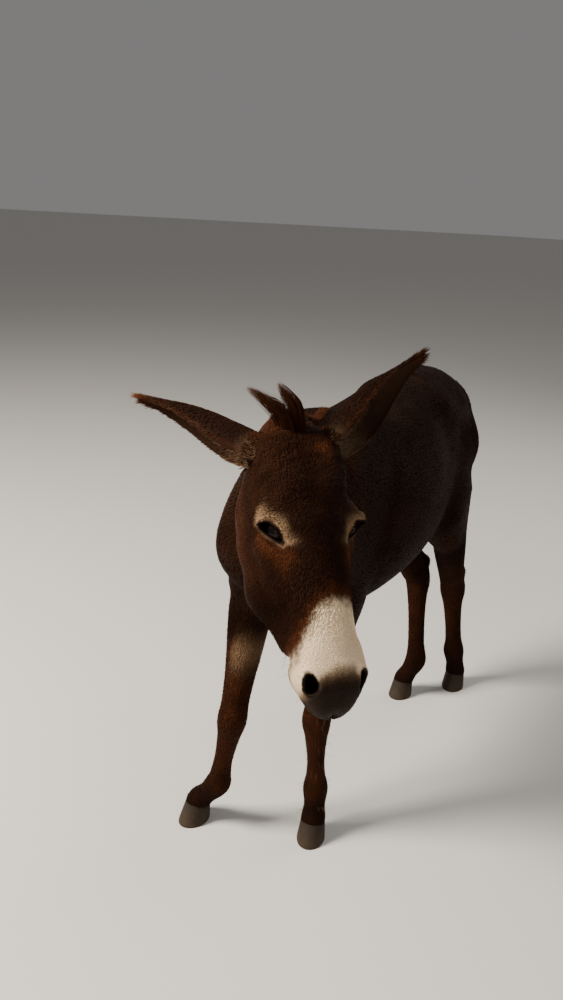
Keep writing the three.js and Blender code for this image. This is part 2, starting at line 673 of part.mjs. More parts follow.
// ---- Ears: a cupped leaf, rolled into a tube at its root ----
function ear({ root, direction, mouth }, grow) {
  const rings = [];
  const across = new THREE.Vector3().crossVectors(direction, mouth).normalize();
  const open = new THREE.Vector3().crossVectors(across, direction).normalize();
  const steps = 11;
  const arc = 6;
  for (let s = 0; s <= steps; s++) {
    const t = s / steps;
    const half = earWidth / 2 * (0.54 + 0.46 * Math.sin(Math.PI * Math.min(1, t * 1.05 + 0.06)))
      * Math.sqrt(Math.max(0.02, 1 - t ** 3));
    const wrap = mix(2.25, 1.25, Math.min(1, t * 1.15));
    const lift = mix(0.35, 0.55, Math.min(1, t / 0.3));
    const radius = half / Math.sin(Math.min(wrap, Math.PI / 2));
    const thick = (earThickness * mix(1.2, 0.75, t)) / 2 + grow;
    const sag = 26 * Math.sin(Math.PI * t * 0.9);
    const spine = root.clone().addScaledVector(direction, mix(-grow, earLength + grow, t))
      .addScaledVector(open, -sag * 0.35);
    const ring = [];
    for (const [layer, order] of [[thick, 1], [-thick, -1]]) {
      for (let i = 0; i <= arc; i++) {
        const reach = wrap + 1.5 * grow / radius;
        const angle = mix(-reach, reach, order > 0 ? i / arc : 1 - i / arc);
        ring.push(spine.clone()
          .addScaledVector(across, Math.sin(angle) * (radius + layer))
          .addScaledVector(open, radius * lift - Math.cos(angle) * (radius + layer)));
      }
    }
    rings.push(ring);
  }
  return loft(rings);
}

// ---- Standing hair ----
// A tuft: round sections along a curve, flattened, ending in a blunt tip.
function tuft(stations, flat, grow, sides = 8) {
  const curve = new THREE.CatmullRomCurve3(stations.map((s) => s[0]));
  const steps = (stations.length - 1) * 2;
  const rings = [];
  for (let k = 0; k <= steps; k++) {
    const t = k / steps;
    const at = curve.getPoint(t);
    const along = curve.getTangent(t);
    const across = flat.clone().addScaledVector(along, -flat.dot(along)).normalize();
    const wide = new THREE.Vector3().crossVectors(across, along);
    const i = Math.min(Math.floor(t * (stations.length - 1)), stations.length - 2);
    const f = t * (stations.length - 1) - i;
    const a = mix(stations[i][1], stations[i + 1][1], f) + grow;
    const b = mix(stations[i][2], stations[i + 1][2], f) + grow;
    at.addScaledVector(along, k === 0 ? -grow : k === steps ? grow : 0);
    rings.push(Array.from({ length: sides }, (_, m) => {
      const turn = m / sides * Math.PI * 2;
      return at.clone().addScaledVector(across, Math.cos(turn) * a).addScaledVector(wide, Math.sin(turn) * b);
    }));
  }
  return loft(rings);
}

// A thin crest of mane that follows the top of the neck.
function maneSolid(grow) {
  const path = [0.04, 0.2, 0.4, 0.6, 0.8, 0.97].map((t) => {
    const inside = between(v3(250, 26, 900), v3(545, 120, 1030), t);
    return exitPoint(inside, v3(-0.1, 0, 1).normalize());
  });
  path.push(exitPoint(onHead(30, 0, -60), turnedByHead(-0.72, 0, 0.6).normalize()));
  const curve = new THREE.CatmullRomCurve3(path);
  const rings = [];
  const steps = 12;
  for (let k = 0; k <= steps; k++) {
    const t = k / steps;
    const at = curve.getPoint(t);
    const along = curve.getTangent(t);
    const side = new THREE.Vector3().crossVectors(upward, along).normalize();
    const rise = new THREE.Vector3().crossVectors(along, side);
    const tall = maneHeight * Math.sqrt(Math.sin(Math.PI * mix(0.06, 0.94, t))) + grow;
    const half = maneThickness / 2 + grow;
    at.addScaledVector(along, k === 0 ? -grow : k === steps ? grow : 0);
    const outline = [[-half, -10 - grow], [half, -10 - grow], [half * 0.85, tall * 0.45],
      [half * 0.3, tall], [-half * 0.3, tall], [-half * 0.85, tall * 0.45]];
    const ring = outline.map(([a, b]) => at.clone().addScaledVector(side, a).addScaledVector(rise, b));
    rings.push(ring.reverse());
  }
  return loft(rings);
}

// Two upright tufts between the ears; the right one leans further out.
function forelock(grow) {
  const flat = turnedByHead(0, 0, 1);
  const at = (x, y, z) => onHead(22 + x, y - 8, z - 26);
  const outer = tuft([[at(0, 0, 0), 22, 17], [at(-40, -20, 20), 20, 13], [at(-66, -46, 26), 15, 9],
    [at(-91, -74, 26), 4, 4]], flat, grow);
  const inner = tuft([[at(0, 10, 0), 18, 16], [at(-42, 2, 24), 17, 12], [at(-66, -18, 34), 12, 9],
    [at(-85, -40, 36), 4, 4]], flat, grow);
  return outer.add(inner);
}

// ---- Tail: a fleshy dock and a tassel of long hair, hanging close behind the thighs ----
const tailRoot = v3(-512, 14, 1004);
const dockPath = [[0, 0, 0, 25, 24], [-28, 2, -16, 24, 23], [-52, 8, -74, 21, 20], [-60, 20, -190, 18, 17],
  [-66, 36, -310, 16, 15]];
const tasselPath = [[-66, 36, -311, 15, 14], [-70, 46, -390, 26, 22], [-74, 54, -480, 29, 25],
  [-76, 60, -570, 20, 18], [-76, 62, -tailLength, 5, 5]];
const hung = (path, grow) =>
  tuft(path.map(([x, y, z, a, b]) => [shifted(tailRoot, x, y, z), a, b]), sideways, grow, 10);

// ---- Parting the body into its pieces ----
const pieces = {};
// A region is where every given side overlaps; each side is [point, direction, depth, width].
const region = (sides, inset) => sides
  .map(([at, toward, depth, width]) => sideOf(at, toward, depth, width, inset))
  .reduce((a, b) => a.intersect(b));
function part(name, ...sides) {
  pieces[name] = body.intersect(region(sides, gap / 2));
  body = body.subtract(region(sides, -gap / 2));
}
for (const leg of Object.values(legs)) {
  const under = leg.foot.clone().setZ(coronetHeight);
  const lowered = v3(0, 0, -1).addScaledVector(leg.ahead, coronetTilt).normalize();
  body = body.subtract(sideOf(under, lowered, 90, 130, 0));
}
part('head', [between(onHead(-4, 0, 0), onHead(104, 0, -200), 0.5), v3(0.581, 0.738, -0.341), 520, 560]);
for (const [name, leg] of Object.entries(legs)) {
  const isFore = name.startsWith('fore');
  // The plane between a pair of legs leans where the hind cannons cross over.
  const own = (lean) => [isFore ? v3(330, 14, 300) : v3(-500, 68, 385),
    v3(0, 1, isFore ? 0 : lean).multiplyScalar(leg.side), 260, 1400];
  const shankDown = leg.fetlock.clone().sub(leg.knee).normalize();
  part(`leg_${name}_lower`, [between(leg.knee, leg.fetlock, 0.24), shankDown, 330, 360], own(0.11));
  const top = isFore ? between(leg.elbow, leg.knee, 0.3).setZ(elbowHeight - 58)
    : between(leg.stifle, leg.knee, 0.3).add(v3(-24, 0, 0));
  const topDown = isFore ? v3(0, 0, -1) : leg.knee.clone().sub(leg.stifle).setY(0).normalize();
  part(`leg_${name}_upper`, [top, topDown, 420, isFore ? 204 : 420], own(0.19));
}
part('neck', [v3(352, 46, 930), v3(0.86, 0.26, 0.44), 600, 900]);
pieces.trunk = body;

// The pieces that are set into the body: each seat is cut a clearance wider, and a plug
// that a seat has cut loose is dropped.
const largest = (solid) => solid.decompose().sort((a, b) => b.volume() - a.volume())[0];
const setIn = (name, build, ...hosts) => {
  for (const host of hosts) pieces[host] = largest(pieces[host].subtract(build(gap)));
  pieces[name] = build(0);
};
const ears = {
  ear_right: { root: onHead(40, -42, -46), direction: turnedByHead(-0.617, -0.603, -0.495),
    mouth: turnedByHead(0.88, -0.43, -0.17) },
  ear_left: { root: onHead(40, 42, -46), direction: turnedByHead(-0.59, 0.77, 0.18),
    mouth: turnedByHead(0.77, 0.34, 0.51) },
};
for (const [side, name] of [[1, 'left'], [-1, 'right']]) {
  const socket = onHead(eyeAlong, side * eyeSpread, eyeDepth);
  setIn(`eye_${name}`, (grow) => ball(socket, eyeRadius + grow), 'head');
  const nostril = solidFromGeometry(new THREE.SphereGeometry(1, 10, 6), new THREE.Matrix4().compose(
    onHead(426, side * 46, -60),
    new THREE.Quaternion().setFromRotationMatrix(headFrame),
    v3(15, 12, 9)));
  pieces.head = pieces.head.subtract(nostril);
}
for (const name of ['ear_left', 'ear_right']) {
  setIn(name, (grow) => ear(ears[name], grow), 'head', 'neck');
}
setIn('mane', maneSolid, 'neck', 'trunk');
setIn('forelock', forelock, 'head', 'neck', 'mane');
setIn('tail_dock', (grow) => hung(dockPath, grow), 'trunk');
setIn('tail_tassel', (grow) => hung(tasselPath, grow), 'trunk');
for (const name of Object.keys(legs)) pieces[`hoof_${name}`] = hooves[name];
// Slivers that the cuts leave behind are merged into their neighbours or dropped.
for (const name of Object.keys(pieces)) pieces[name] = largest(pieces[name].simplify(gap / 6));

// ---- The finished object ----
const paint = (colour, roughness) =>
  new THREE.MeshStandardMaterial({ color: colour, roughness, metalness: 0 });
const paints = {
  coat: paint(0x2e1c14, 0.85),
  face: paint(0x34211a, 0.85),
  hair: paint(0x4a2c1d, 0.9),
  hoof: paint(0x5d554c, 0.65),
  eye: paint(0x120c09, 0.12),
};
const paintOf = (name) => {
  if (name.startsWith('hoof')) return paints.hoof;
  if (name.startsWith('eye')) return paints.eye;
  if (name === 'head') return paints.face;
  if (/forelock|mane|tassel/.test(name)) return paints.hair;
  return paints.coat;
};
const donkey = new THREE.Group();
donkey.name = 'donkey';
const whole = new THREE.Box3();
for (const [name, solid] of Object.entries(pieces)) {
  const mesh = solid.getMesh();
  const geometry = new THREE.BufferGeometry();
  geometry.setAttribute('position', new THREE.Float32BufferAttribute(mesh.vertProperties, 3));
  geometry.setIndex(Array.from(mesh.triVerts));
  geometry.computeVertexNormals();
  geometry.computeBoundingBox();
  whole.union(geometry.boundingBox);
  const piece = new THREE.Mesh(geometry, paintOf(name).clone());
  piece.name = name;
  donkey.add(piece);
}
// The origin is on the floor under the middle of the whole animal.
const middle = whole.getCenter(new THREE.Vector3());
donkey.position.set(-middle.x, -middle.y, -whole.min.z);

export default donkey;
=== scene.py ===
import itertools
import json
import math

import bmesh
import bpy
import numpy as np
from mathutils import Matrix, Vector

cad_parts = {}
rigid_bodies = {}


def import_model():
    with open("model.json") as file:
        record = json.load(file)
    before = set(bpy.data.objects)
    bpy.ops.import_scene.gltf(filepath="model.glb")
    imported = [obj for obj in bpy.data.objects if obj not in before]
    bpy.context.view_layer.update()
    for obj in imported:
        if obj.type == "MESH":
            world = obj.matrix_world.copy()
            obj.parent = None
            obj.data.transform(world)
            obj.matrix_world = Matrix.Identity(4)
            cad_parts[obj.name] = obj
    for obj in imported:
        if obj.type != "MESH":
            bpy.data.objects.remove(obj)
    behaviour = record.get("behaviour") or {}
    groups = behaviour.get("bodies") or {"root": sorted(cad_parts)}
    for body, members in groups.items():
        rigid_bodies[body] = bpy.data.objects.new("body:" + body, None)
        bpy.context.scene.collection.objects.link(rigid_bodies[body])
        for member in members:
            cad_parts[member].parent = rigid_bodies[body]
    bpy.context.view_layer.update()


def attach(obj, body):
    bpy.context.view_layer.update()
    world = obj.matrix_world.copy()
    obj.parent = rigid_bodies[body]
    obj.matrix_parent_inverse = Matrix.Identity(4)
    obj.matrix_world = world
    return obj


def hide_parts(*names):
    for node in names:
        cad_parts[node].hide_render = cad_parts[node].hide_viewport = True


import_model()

dice = np.random.default_rng(11)
print("frame loaded")

# Shapes are worked out in millimetres in the donkey's own frame, x forward, y to its left,
# z up, and moved to the row frame in metres by toRow.
rowShift = np.array([-119.096, -107.741, 0.0])
upward = np.array([0.0, 0.0, 1.0])
sideways = np.array([0.0, 1.0, 0.0])
sides = (1, -1)


def vec(x, y, z):
    return np.array([x, y, z], dtype=float)


def unit(v):
    v = np.asarray(v, dtype=float)
    return v / np.maximum(np.linalg.norm(v, axis=-1, keepdims=True), 1e-9)


def mix(a, b, t):
    return a + (b - a) * t


def ease(low, high, x):
    t = np.clip((x - low) / (high - low), 0, 1)
    return t * t * (3 - 2 * t)


def bell(x, width):
    return np.exp(-(x / width) ** 2)


def toRow(points):
    return (np.asarray(points) + rowShift) / 1000


def grain(points, cell, seed):
    # Smooth random values from -1 to 1, one per cell of space.
    q = points / cell + seed * 13.7
    base = np.floor(q).astype(np.int64)
    f = q - base
    f = f * f * (3 - 2 * f)
    total = np.zeros(len(points))
    for corner in itertools.product((0, 1), repeat=3):
        i = base + corner
        h = (i[:, 0] * 73856093) ^ (i[:, 1] * 19349663) ^ (i[:, 2] * 83492791) ^ (seed * 97531)
        h = (h ^ (h >> 13)) * 1274126177
        value = ((h >> 7) & 65535) / 32767.5 - 1
        share = np.prod(np.where(np.array(corner) == 1, f, 1 - f), axis=1)
        total += value * share
    return total


# the head's own frame: x from poll to muzzle, y to its left, z out of the brow
pollPoint = vec(664, 206, 1160)
noseWay = unit([0.44, 0.51, -0.74])
sideWay = unit(np.cross([0.412, 0.617, 0.67], noseWay))
browWay = np.cross(noseWay, sideWay)
headAxes = np.stack([noseWay, sideWay, browWay])


def onHead(x, y, z):
    return pollPoint + x * noseWay + y * sideWay + z * browWay


def inHead(points):
    return (points - pollPoint) @ headAxes.T


def turned(x, y, z):
    return unit(x * noseWay + y * sideWay + z * browWay)


def curveThrough(a, b, c, d, t):
    # Catmull-Rom from b to c.
    return b + 0.5 * t * (c - a + t * (2 * a - 5 * b + 4 * c - d + t * (3 * (b - c) + d - a)))


# blended forms
def limb(stations, lift, square=2.0, cap=30.0, joint=None, blend=40.0, steps=4):
    # A chain of oval sections: [point, lift reach, drop reach, side reach].
    rows = np.array([[*p, a, b, c] for p, a, b, c in stations], dtype=float)
    rings = []
    for k in range((len(rows) - 1) * steps + 1):
        i = min(k // steps, len(rows) - 2)
        t = k / steps - i
        a, b, c, d = (rows[min(max(j, 0), len(rows) - 1)] for j in (i - 1, i, i + 1, i + 2))
        ring = curveThrough(a, b, c, d, t)
        ring[3:] = np.maximum(1, ring[3:])
        rings.append(ring)
    rings = np.array(rings)
    reach = rings[:, 3:].max(axis=1)[:, None]
    low = (rings[:, :3] - reach).min(axis=0) - cap
    high = (rings[:, :3] + reach).max(axis=0) + cap
    return {"rings": rings, "lift": unit(lift), "square": square, "cap": cap, "joint": joint,
            "blend": blend, "low": low, "high": high}


def limbDistance(form, points):
    best = np.full(len(points), 1e9)
    rings = form["rings"]
    last = len(rings) - 2
    for k in range(last + 1):
        a, b = rings[k], rings[k + 1]
        along = b[:3] - a[:3]
        length = np.linalg.norm(along)
        along = along / length
        up = unit(form["lift"] - form["lift"] @ along * along)
        side = np.cross(up, along)
        middle = (a[:3] + b[:3]) / 2
        reach = length / 2 + max(a[3:].max(), b[3:].max()) + form["cap"]
        near = np.nonzero(np.linalg.norm(points - middle, axis=1) - reach < best)[0]
        if len(near) == 0:
            continue
        d = points[near] - a[:3]
        run = d @ along
        t = np.clip(run / length, 0, 1)
        over = run - t * length
        u = d @ up
        v = d @ side
        rise = np.where(u > 0, mix(a[3], b[3], t), mix(a[4], b[4], t))
        half = mix(a[5], b[5], t)
        power = form["square"]
        q = ((np.abs(u) / rise) ** power + (np.abs(v) / half) ** power) ** (1 / power)
        tip = ((over < 0) & (k == 0)) | ((over > 0) & (k == last))
        rounding = np.where(tip, form["cap"], form["joint"] or np.inf)
        rounded = (over != 0) & np.isfinite(rounding)
        q = np.where(rounded, np.sqrt(q * q + (over / rounding) ** 2), q)
        flat = u * u + v * v + np.where(rounded, over * over, 0)
        full = np.sqrt(u * u + v * v + over * over)
        found = np.where(q < 1e-6, -np.minimum(rise, half), full - np.sqrt(flat) / np.maximum(q, 1e-6))
        best[near] = np.minimum(best[near], found)
    return best


def muscle(a, b, ra, rb, blend=40.0, squash=None, ratio=1.0):
    # A rounded cone from a to b, flattened along squash by ratio.
    r = max(ra, rb)
    return {"a": a, "b": b, "ra": ra, "rb": rb, "blend": blend, "squash": squash, "ratio": ratio,
            "low": np.minimum(a, b) - r, "high": np.maximum(a, b) + r}


def muscleDistance(form, points):
    along = form["b"] - form["a"]
    d = points - form["a"]
    t = np.clip(d @ along / max(along @ along, 1e-9), 0, 1)
    d = d - t[:, None] * along
    if form["squash"] is not None:
        d = d + (d @ form["squash"])[:, None] * form["squash"] * (form["ratio"] - 1)
    found = np.linalg.norm(d, axis=1) - mix(form["ra"], form["rb"], t)
    return np.where(found < 0, found / form["ratio"], found)


def softMin(a, b, k):
    h = np.maximum(k - np.abs(a - b), 0) / k
    return np.minimum(a, b) - h * h * k / 4


def softMax(a, b, k):
    return -softMin(-a, -b, k)


def blended(forms, points, far=1e4):
    d = np.full(len(points), far)
    for form in forms:
        room = form["blend"] + 60
        near = np.all((points > form["low"] - room) & (points < form["high"] + room), axis=1)
        near = np.nonzero(near)[0]
        if len(near) == 0:
            continue
        found = (limbDistance if "rings" in form else muscleDistance)(form, points[near])
        d[near] = softMin(d[near], found, form["blend"])
    return d


trunk = {
    "sections": [  # x, y of the spine, top, bottom, widest level, half width
        (-480, 10, 1030, 730, 882, 96), (-466, 10, 1052, 706, 886, 120), (-450, 10, 1072, 690, 888, 138),
        (-380, 10, 1102, 664, 884, 150), (-300, 10, 1104, 636, 868, 160), (-200, 10, 1084, 602, 832, 178),
        (-90, 12, 1062, 576, 808, 194), (30, 14, 1052, 566, 802, 196), (140, 18, 1056, 568, 806, 182),
        (240, 24, 1072, 586, 818, 156), (320, 28, 1046, 600, 818, 150), (390, 26, 985, 620, 800, 148),
        (440, 24, 915, 650, 782, 126), (474, 24, 856, 694, 774, 88),
    ],
    "rounding": 26,
}
bodyForms = [limb(
    [(vec(x, y, level), top - level, level - bottom, half)
     for x, y, top, bottom, level, half in trunk["sections"]],
    upward, square=2.15, cap=trunk["rounding"], joint=trunk["rounding"], blend=1, steps=4)]
bodyForms.append(limb([
    (vec(215, 22, 872), 172, 176, 106),
    (vec(330, 36, 918), 146, 168, 92),
    (vec(440, 70, 974), 126, 146, 76),
    (vec(545, 120, 1028), 102, 122, 66),
    (onHead(40, 0, -94), 74, 92, 58),
], upward, cap=40, blend=60))
for side, swing in ((1, 0), (-1, 34)):  # shoulders and upper arms, the right one reaching forward
    def off(d, side=side):
        return 18 + side * d
    lean = swing / 2
    bodyForms += [
        muscle(vec(245, off(50), 1000), vec(380 + lean, off(80), 805), 50, 62, 60, sideways, 1.3),
        muscle(vec(390 + lean, off(74), 775), vec(300 + swing, off(92), 670), 58, 56, 50),
        muscle(vec(225, off(80), 880), vec(266 + swing, off(98), 660), 72, 50, 60, sideways, 1.4),
        muscle(vec(300, off(54), 690), vec(330 + swing, off(34), 640), 60, 44, 50),
    ]
for side in sides:  # hip, thigh, buttock and the point of the hip
    def off(d, side=side):
        return 10 + side * d
    bodyForms += [
        muscle(vec(-350, off(72), 975), vec(-440, off(78), 880), 70, 76, 40),
        muscle(vec(-400, off(84), 850), vec(-305, off(104), 700), 78, 68, 70, sideways, 1.2),
        muscle(vec(-468, off(46), 978), vec(-498, off(62), 880), 46, 58, 40),
        muscle(vec(-498, off(62), 880), vec(-462, off(76), 690), 58, 68, 40),
        muscle(vec(-246, off(96), 1002), vec(-266, off(98), 990), 28, 28, 80),
    ]

legs = {
    "fore_left": {"side": 1, "top": vec(278, 112, 625), "knee": vec(305, 96, 335),
                  "fetlock": vec(292, 100, 132), "foot": vec(316, 110, 0), "toe": 14},
    "fore_right": {"side": -1, "top": vec(326, -82, 625), "knee": vec(416, -74, 330),
                   "fetlock": vec(414, -112, 128), "foot": vec(424, -172, 0), "toe": -12},
    "hind_left": {"side": 1, "top": vec(-305, 138, 690), "knee": vec(-512, 128, 385),
                  "fetlock": vec(-588, 134, 132), "foot": vec(-590, 146, 0), "toe": 6},
    "hind_right": {"side": -1, "top": vec(-285, -76, 690), "knee": vec(-502, 12, 393),
                   "fetlock": vec(-450, 56, 132), "foot": vec(-438, 22, 0), "toe": -6},
}
hoof = {"length": 96, "width": 72, "coronet": 50, "tilt": 0.22}
for name, leg in legs.items():
    heading = math.radians(leg["toe"])
    ahead = vec(math.cos(heading), math.sin(heading), 0)
    aside = vec(-math.sin(heading), math.cos(heading), 0)
    top, knee, fetlock, foot = leg["top"], leg["knee"], leg["fetlock"], leg["foot"]
    coronet = foot - 10 * ahead + vec(0, 0, hoof["coronet"])
    pastern = mix(fetlock, coronet, 0.55) - 3 * ahead
    inHoof = foot - 2 * ahead + vec(0, 0, 18)
    leg["ahead"] = ahead
    leg["aside"] = aside
    leg["fore"] = name.startswith("fore")
    outward = leg["side"]
    if leg["fore"]:
        bodyForms.append(limb([
            (top + vec(6, -outward * 6, 55), 66, 62, 52),
            (top, 56, 62, 48),
            (mix(top, knee, 0.3), 51, 51, 46),
            (mix(top, knee, 0.62), 41, 40, 39),
            (mix(top, knee, 0.86), 36, 36, 35),
            (knee, 37, 37, 37),
            (mix(knee, fetlock, 0.22), 29, 34, 31),
            (mix(knee, fetlock, 0.55), 24, 30, 25),
            (mix(knee, fetlock, 0.82), 25, 32, 27),
            (fetlock, 30, 35, 33),
            (pastern, 27, 29, 28),
            (coronet, 33, 32, 33),
            (inHoof, 26, 22, 24),
        ], ahead, cap=10, blend=45, steps=3))
        bodyForms.append(muscle(top + vec(-36, outward * 4, 18), top + vec(-22, 0, -40), 30, 20, 40))
        bodyForms.append(muscle(top + vec(26, outward * 10, -30), mix(top, knee, 0.5), 34, 22, 30))
    else:
        tip = knee + vec(-46, 0, 44)
        bodyForms.append(limb([
            (top + vec(-76, -outward * 16, 70), 92, 96, 60),
            (top + vec(-66, -outward * 6, 4), 82, 92, 58),
            (mix(top, knee, 0.38) + vec(-24, 0, 4), 66, 72, 49),
            (mix(top, knee, 0.68) + vec(-10, 0, 2), 50, 55, 41),
            (mix(top, knee, 0.88), 40, 48, 36),
            (knee, 40, 43, 39),
            (mix(knee, fetlock, 0.22), 33, 39, 32),
            (mix(knee, fetlock, 0.5), 28, 34, 28),
            (mix(knee, fetlock, 0.8), 28, 34, 28),
            (fetlock, 31, 36, 34),
            (pastern, 28, 30, 29),
            (coronet, 33, 32, 33),
            (inHoof, 25, 21, 23),
        ], ahead, cap=10, blend=55, steps=3))
        bodyForms += [
            muscle(tip, knee + vec(-10, 0, -12), 18, 27, 22),
            muscle(tip, mix(top, knee, 0.5) + vec(-62, 0, 26), 13, 22, 26),
            muscle(top + vec(6, 0, 6), top + vec(-30, 0, -60), 48, 40, 50),
        ]

skull = {"sections": [  # x, level, rise, drop, half width
    (0, -66, 42, 62, 50), (45, -72, 70, 88, 70), (100, -78, 82, 104, 78), (160, -82, 86, 104, 80),
    (215, -82, 78, 92, 70), (270, -79, 68, 70, 61), (325, -76, 59, 54, 54), (375, -77, 52, 44, 54),
    (414, -80, 46, 38, 55), (438, -87, 36, 28, 44),
]}
headForms = [
    limb([(onHead(x, 0, level), rise, drop, half) for x, level, rise, drop, half in skull["sections"]],
         turned(0, 0, 1), square=2.25, cap=16, blend=1, steps=5),
    muscle(onHead(122, 0, -168), onHead(250, 0, -140), 40, 27, 40),
    muscle(onHead(394, 0, -112), onHead(420, 0, -114), 28, 24, 18),
    muscle(onHead(418, 0, -76), onHead(434, 0, -88), 36, 31, 22),
]
for side in sides:
    headForms += [
        muscle(onHead(112, side * 52, -146), onHead(168, side * 54, -128), 54, 46, 40, sideWay, 1.7),
        muscle(onHead(146, side * 76, -34), onHead(168, side * 86, -35), 21, 17, 24),
        muscle(onHead(172, side * 53, -149), onHead(252, side * 52, -146), 31, 29, 46),
        muscle(onHead(252, side * 52, -146), onHead(346, side * 40, -121), 29, 17, 40),
        muscle(onHead(190, side * 74, -78), onHead(280, side * 50, -80), 16, 11, 26),
        muscle(onHead(110, side * 42, -22), onHead(44, side * 46, -34), 24, 28, 40),
        muscle(onHead(384, side * 33, -60), onHead(414, side * 37, -63), 18, 19, 20),
        muscle(onHead(404, side * 32, -98), onHead(432, side * 16, -102), 25, 21, 20),
    ]
headLow = np.min([form["low"] for form in headForms], axis=0)
headHigh = np.max([form["high"] for form in headForms], axis=0)
bodyHollows = [(muscle(onHead(122, side * 84, -14), onHead(138, side * 88, -18), 10, 10), 26)
               for side in sides]
tail = {
    "root": vec(-512, 14, 1004),
    "dock": [  # x, y, z from the root, half height, half width
        (0, 0, 0, 25, 24), (-28, 2, -16, 24, 23), (-52, 8, -74, 21, 20), (-60, 20, -190, 18, 17),
        (-66, 36, -310, 16, 15),
    ],
}
dockForm = limb([(tail["root"] + vec(x, y, z), a, a, b) for x, y, z, a, b in tail["dock"]],
                sideways, cap=12, blend=10, steps=4)
print("forms listed")

# what part of the donkey a point is on
def regionsOf(points):
    head = inHead(points)
    headCut = mix(onHead(-4, 0, 0), onHead(104, 0, -200), 0.5)
    pastHead = (points - headCut) @ vec(0.581, 0.738, -0.341)
    pastNeck = (points - vec(352, 46, 930)) @ vec(0.86, 0.26, 0.44)
    x, z = points[:, 0], points[:, 2]
    onLeg = ease(650, 540, z) * ease(130, 200, np.abs(x + 60))
    onTail = ease(-528, -545, x) * ease(985, 960, z + 0.6 * np.abs(points[:, 1] - 24)) * (z > 660)
    return {"face": head, "head": ease(-22, 22, pastHead), "neck": ease(-60, 60, pastNeck),
            "leg": onLeg, "tail": onTail, "muzzle": ease(-22, 22, pastHead) * ease(290, 390, head[:, 0])}


coatDepth = {"trunk": 6.0, "head": 3.0, "muzzle": 1.2, "leg": 3.2, "foot": 2.2, "tail": 3.0}


def depthAt(points, where):
    depth = np.full(len(points), coatDepth["trunk"])
    depth = mix(depth, coatDepth["head"], where["head"])
    depth = mix(depth, coatDepth["muzzle"], where["muzzle"])
    depth = mix(depth, coatDepth["leg"], where["leg"])
    depth = mix(depth, coatDepth["foot"], ease(150, 90, points[:, 2]))
    return mix(depth, coatDepth["tail"], where["tail"])


# eyes, nostrils and mouth, each in a small frame of its own
eye = {"x": 176, "spread": 63, "z": -47, "radius": 19.8, "lid": 22.3, "outward": (0.35, 0.62, 0.70),
       "across": (0.77, -0.60, 0.21), "outer": -20, "inner": 25, "above": 8.6, "below": 6.2, "bed": 18.4,
       "share": {1: 0.62, -1: 1.0},
       "creases": [(5.5, 1.1, 1.7), (11, 0.9, 2.0), (17, 0.6, 2.4)]}  # reach, depth, width
nostril = {"x": 424, "spread": 37, "z": -60, "outward": (0.60, 0.62, 0.50), "long": (-0.62, 0.10, 0.62),
           "length": 18, "width": 12, "deep": 22}
mouth = {"level": -106, "corner": 372, "gape": 1.5}


def localFrame(piece, side):
    out = turned(piece["outward"][0], side * piece["outward"][1], piece["outward"][2])
    lengthwise = piece.get("across") or piece.get("long")
    run = turned(lengthwise[0], side * lengthwise[1], lengthwise[2])
    run = unit(run - run @ out * out)
    rise = np.cross(out, run)
    if rise @ browWay < 0:
        rise = -rise
    return onHead(piece["x"], side * piece["spread"], piece["z"]), run, rise, out


def inLocal(points, piece, side):
    middle, run, rise, out = localFrame(piece, side)
    d = points - middle
    return d @ run, d @ rise, d @ out, np.linalg.norm(d, axis=1)


def lidLine(u):
    # The droop of the eye's line, and the swell of a lid, from the outer corner to the inner.
    return -3.5 * ease(0.55, 1, u), 2.75 * u ** 0.6 * (1 - u) ** 0.9


def eyeOpening(h, v, side):
    # Below zero inside the almond between the lids; the left lids are lower.
    part = eye["share"][side]
    u = np.clip((h - eye["outer"]) / (eye["inner"] - eye["outer"]), 0, 1)
    droop, leaf = lidLine(u)
    drop = droop - 7 * (1 - part)
    outside = np.maximum(eye["outer"] - h, h - eye["inner"])
    overUpper = v - drop - eye["above"] * part * leaf
    underLower = drop - v - eye["below"] * part * leaf
    return np.maximum(np.maximum(overUpper, underLower), outside)


def nostrilPlace(points, side):
    # How far out of the nostril's opening, and how far across it with the rim at 1.
    a, b, c, _ = inLocal(points, nostril, side)
    b = b - side * 0.010 * a * a
    return c, np.sqrt((a / nostril["length"]) ** 2 + (b / nostril["width"]) ** 2)


def faceDetails(points, d):
    x, y, z = inHead(points).T
    for side in sides:
        h, v, n, r = inLocal(points, eye, side)
        hollow = muscle(onHead(182, side * 84, -23), onHead(194, side * 82, -25), 14, 13)
        d = softMax(d, -muscleDistance(hollow, points), 9)
        d = softMin(d, r - eye["lid"], 7)
        opening = eyeOpening(h, v, side)
        near = (n > 2) & (r < 42)
        for reach, deep, wide in eye["creases"]:
            upper = bell(opening - reach, wide) * ease(-2, 8, v)
            lower = 0.5 * bell(opening - reach, wide) * ease(-2, -7, v)
            d = d + near * deep * (upper + lower)
        d = d - near * 0.8 * bell(opening - 1.6, 1.8)
        cut = np.maximum(np.maximum(opening, eye["bed"] - r), 3 - n)
        d = np.where(n > 0, softMax(d, -cut, 1.4), d)
    for side in sides:
        c, ring = nostrilPlace(points, side)
        core = np.sqrt(ring ** 2 + (c / nostril["deep"]) ** 2)
        d = d - 2.6 * bell(ring - 1.3, 0.24) * bell(c, 16)
        d = softMax(d, -(core - 1) * nostril["width"], 4)
    line = mouth["level"] + 0.0011 * (448 - x) ** 2 + 0.0015 * y * y
    gap = np.maximum(np.maximum(np.abs(z - line) - mouth["gape"], -d - 6), mouth["corner"] - x)
    d = softMax(d, -gap, 2.5)
    d = d - 1.6 * bell(z - line - 6, 5) * ease(372, 400, x) - 1.2 * bell(z - line + 6, 4) * ease(372, 400, x)
    d = d + 1.2 * bell(y, 3.2) * ease(425, 440, x) * ease(-100, -92, z)  # the groove of the upper lip
    return d


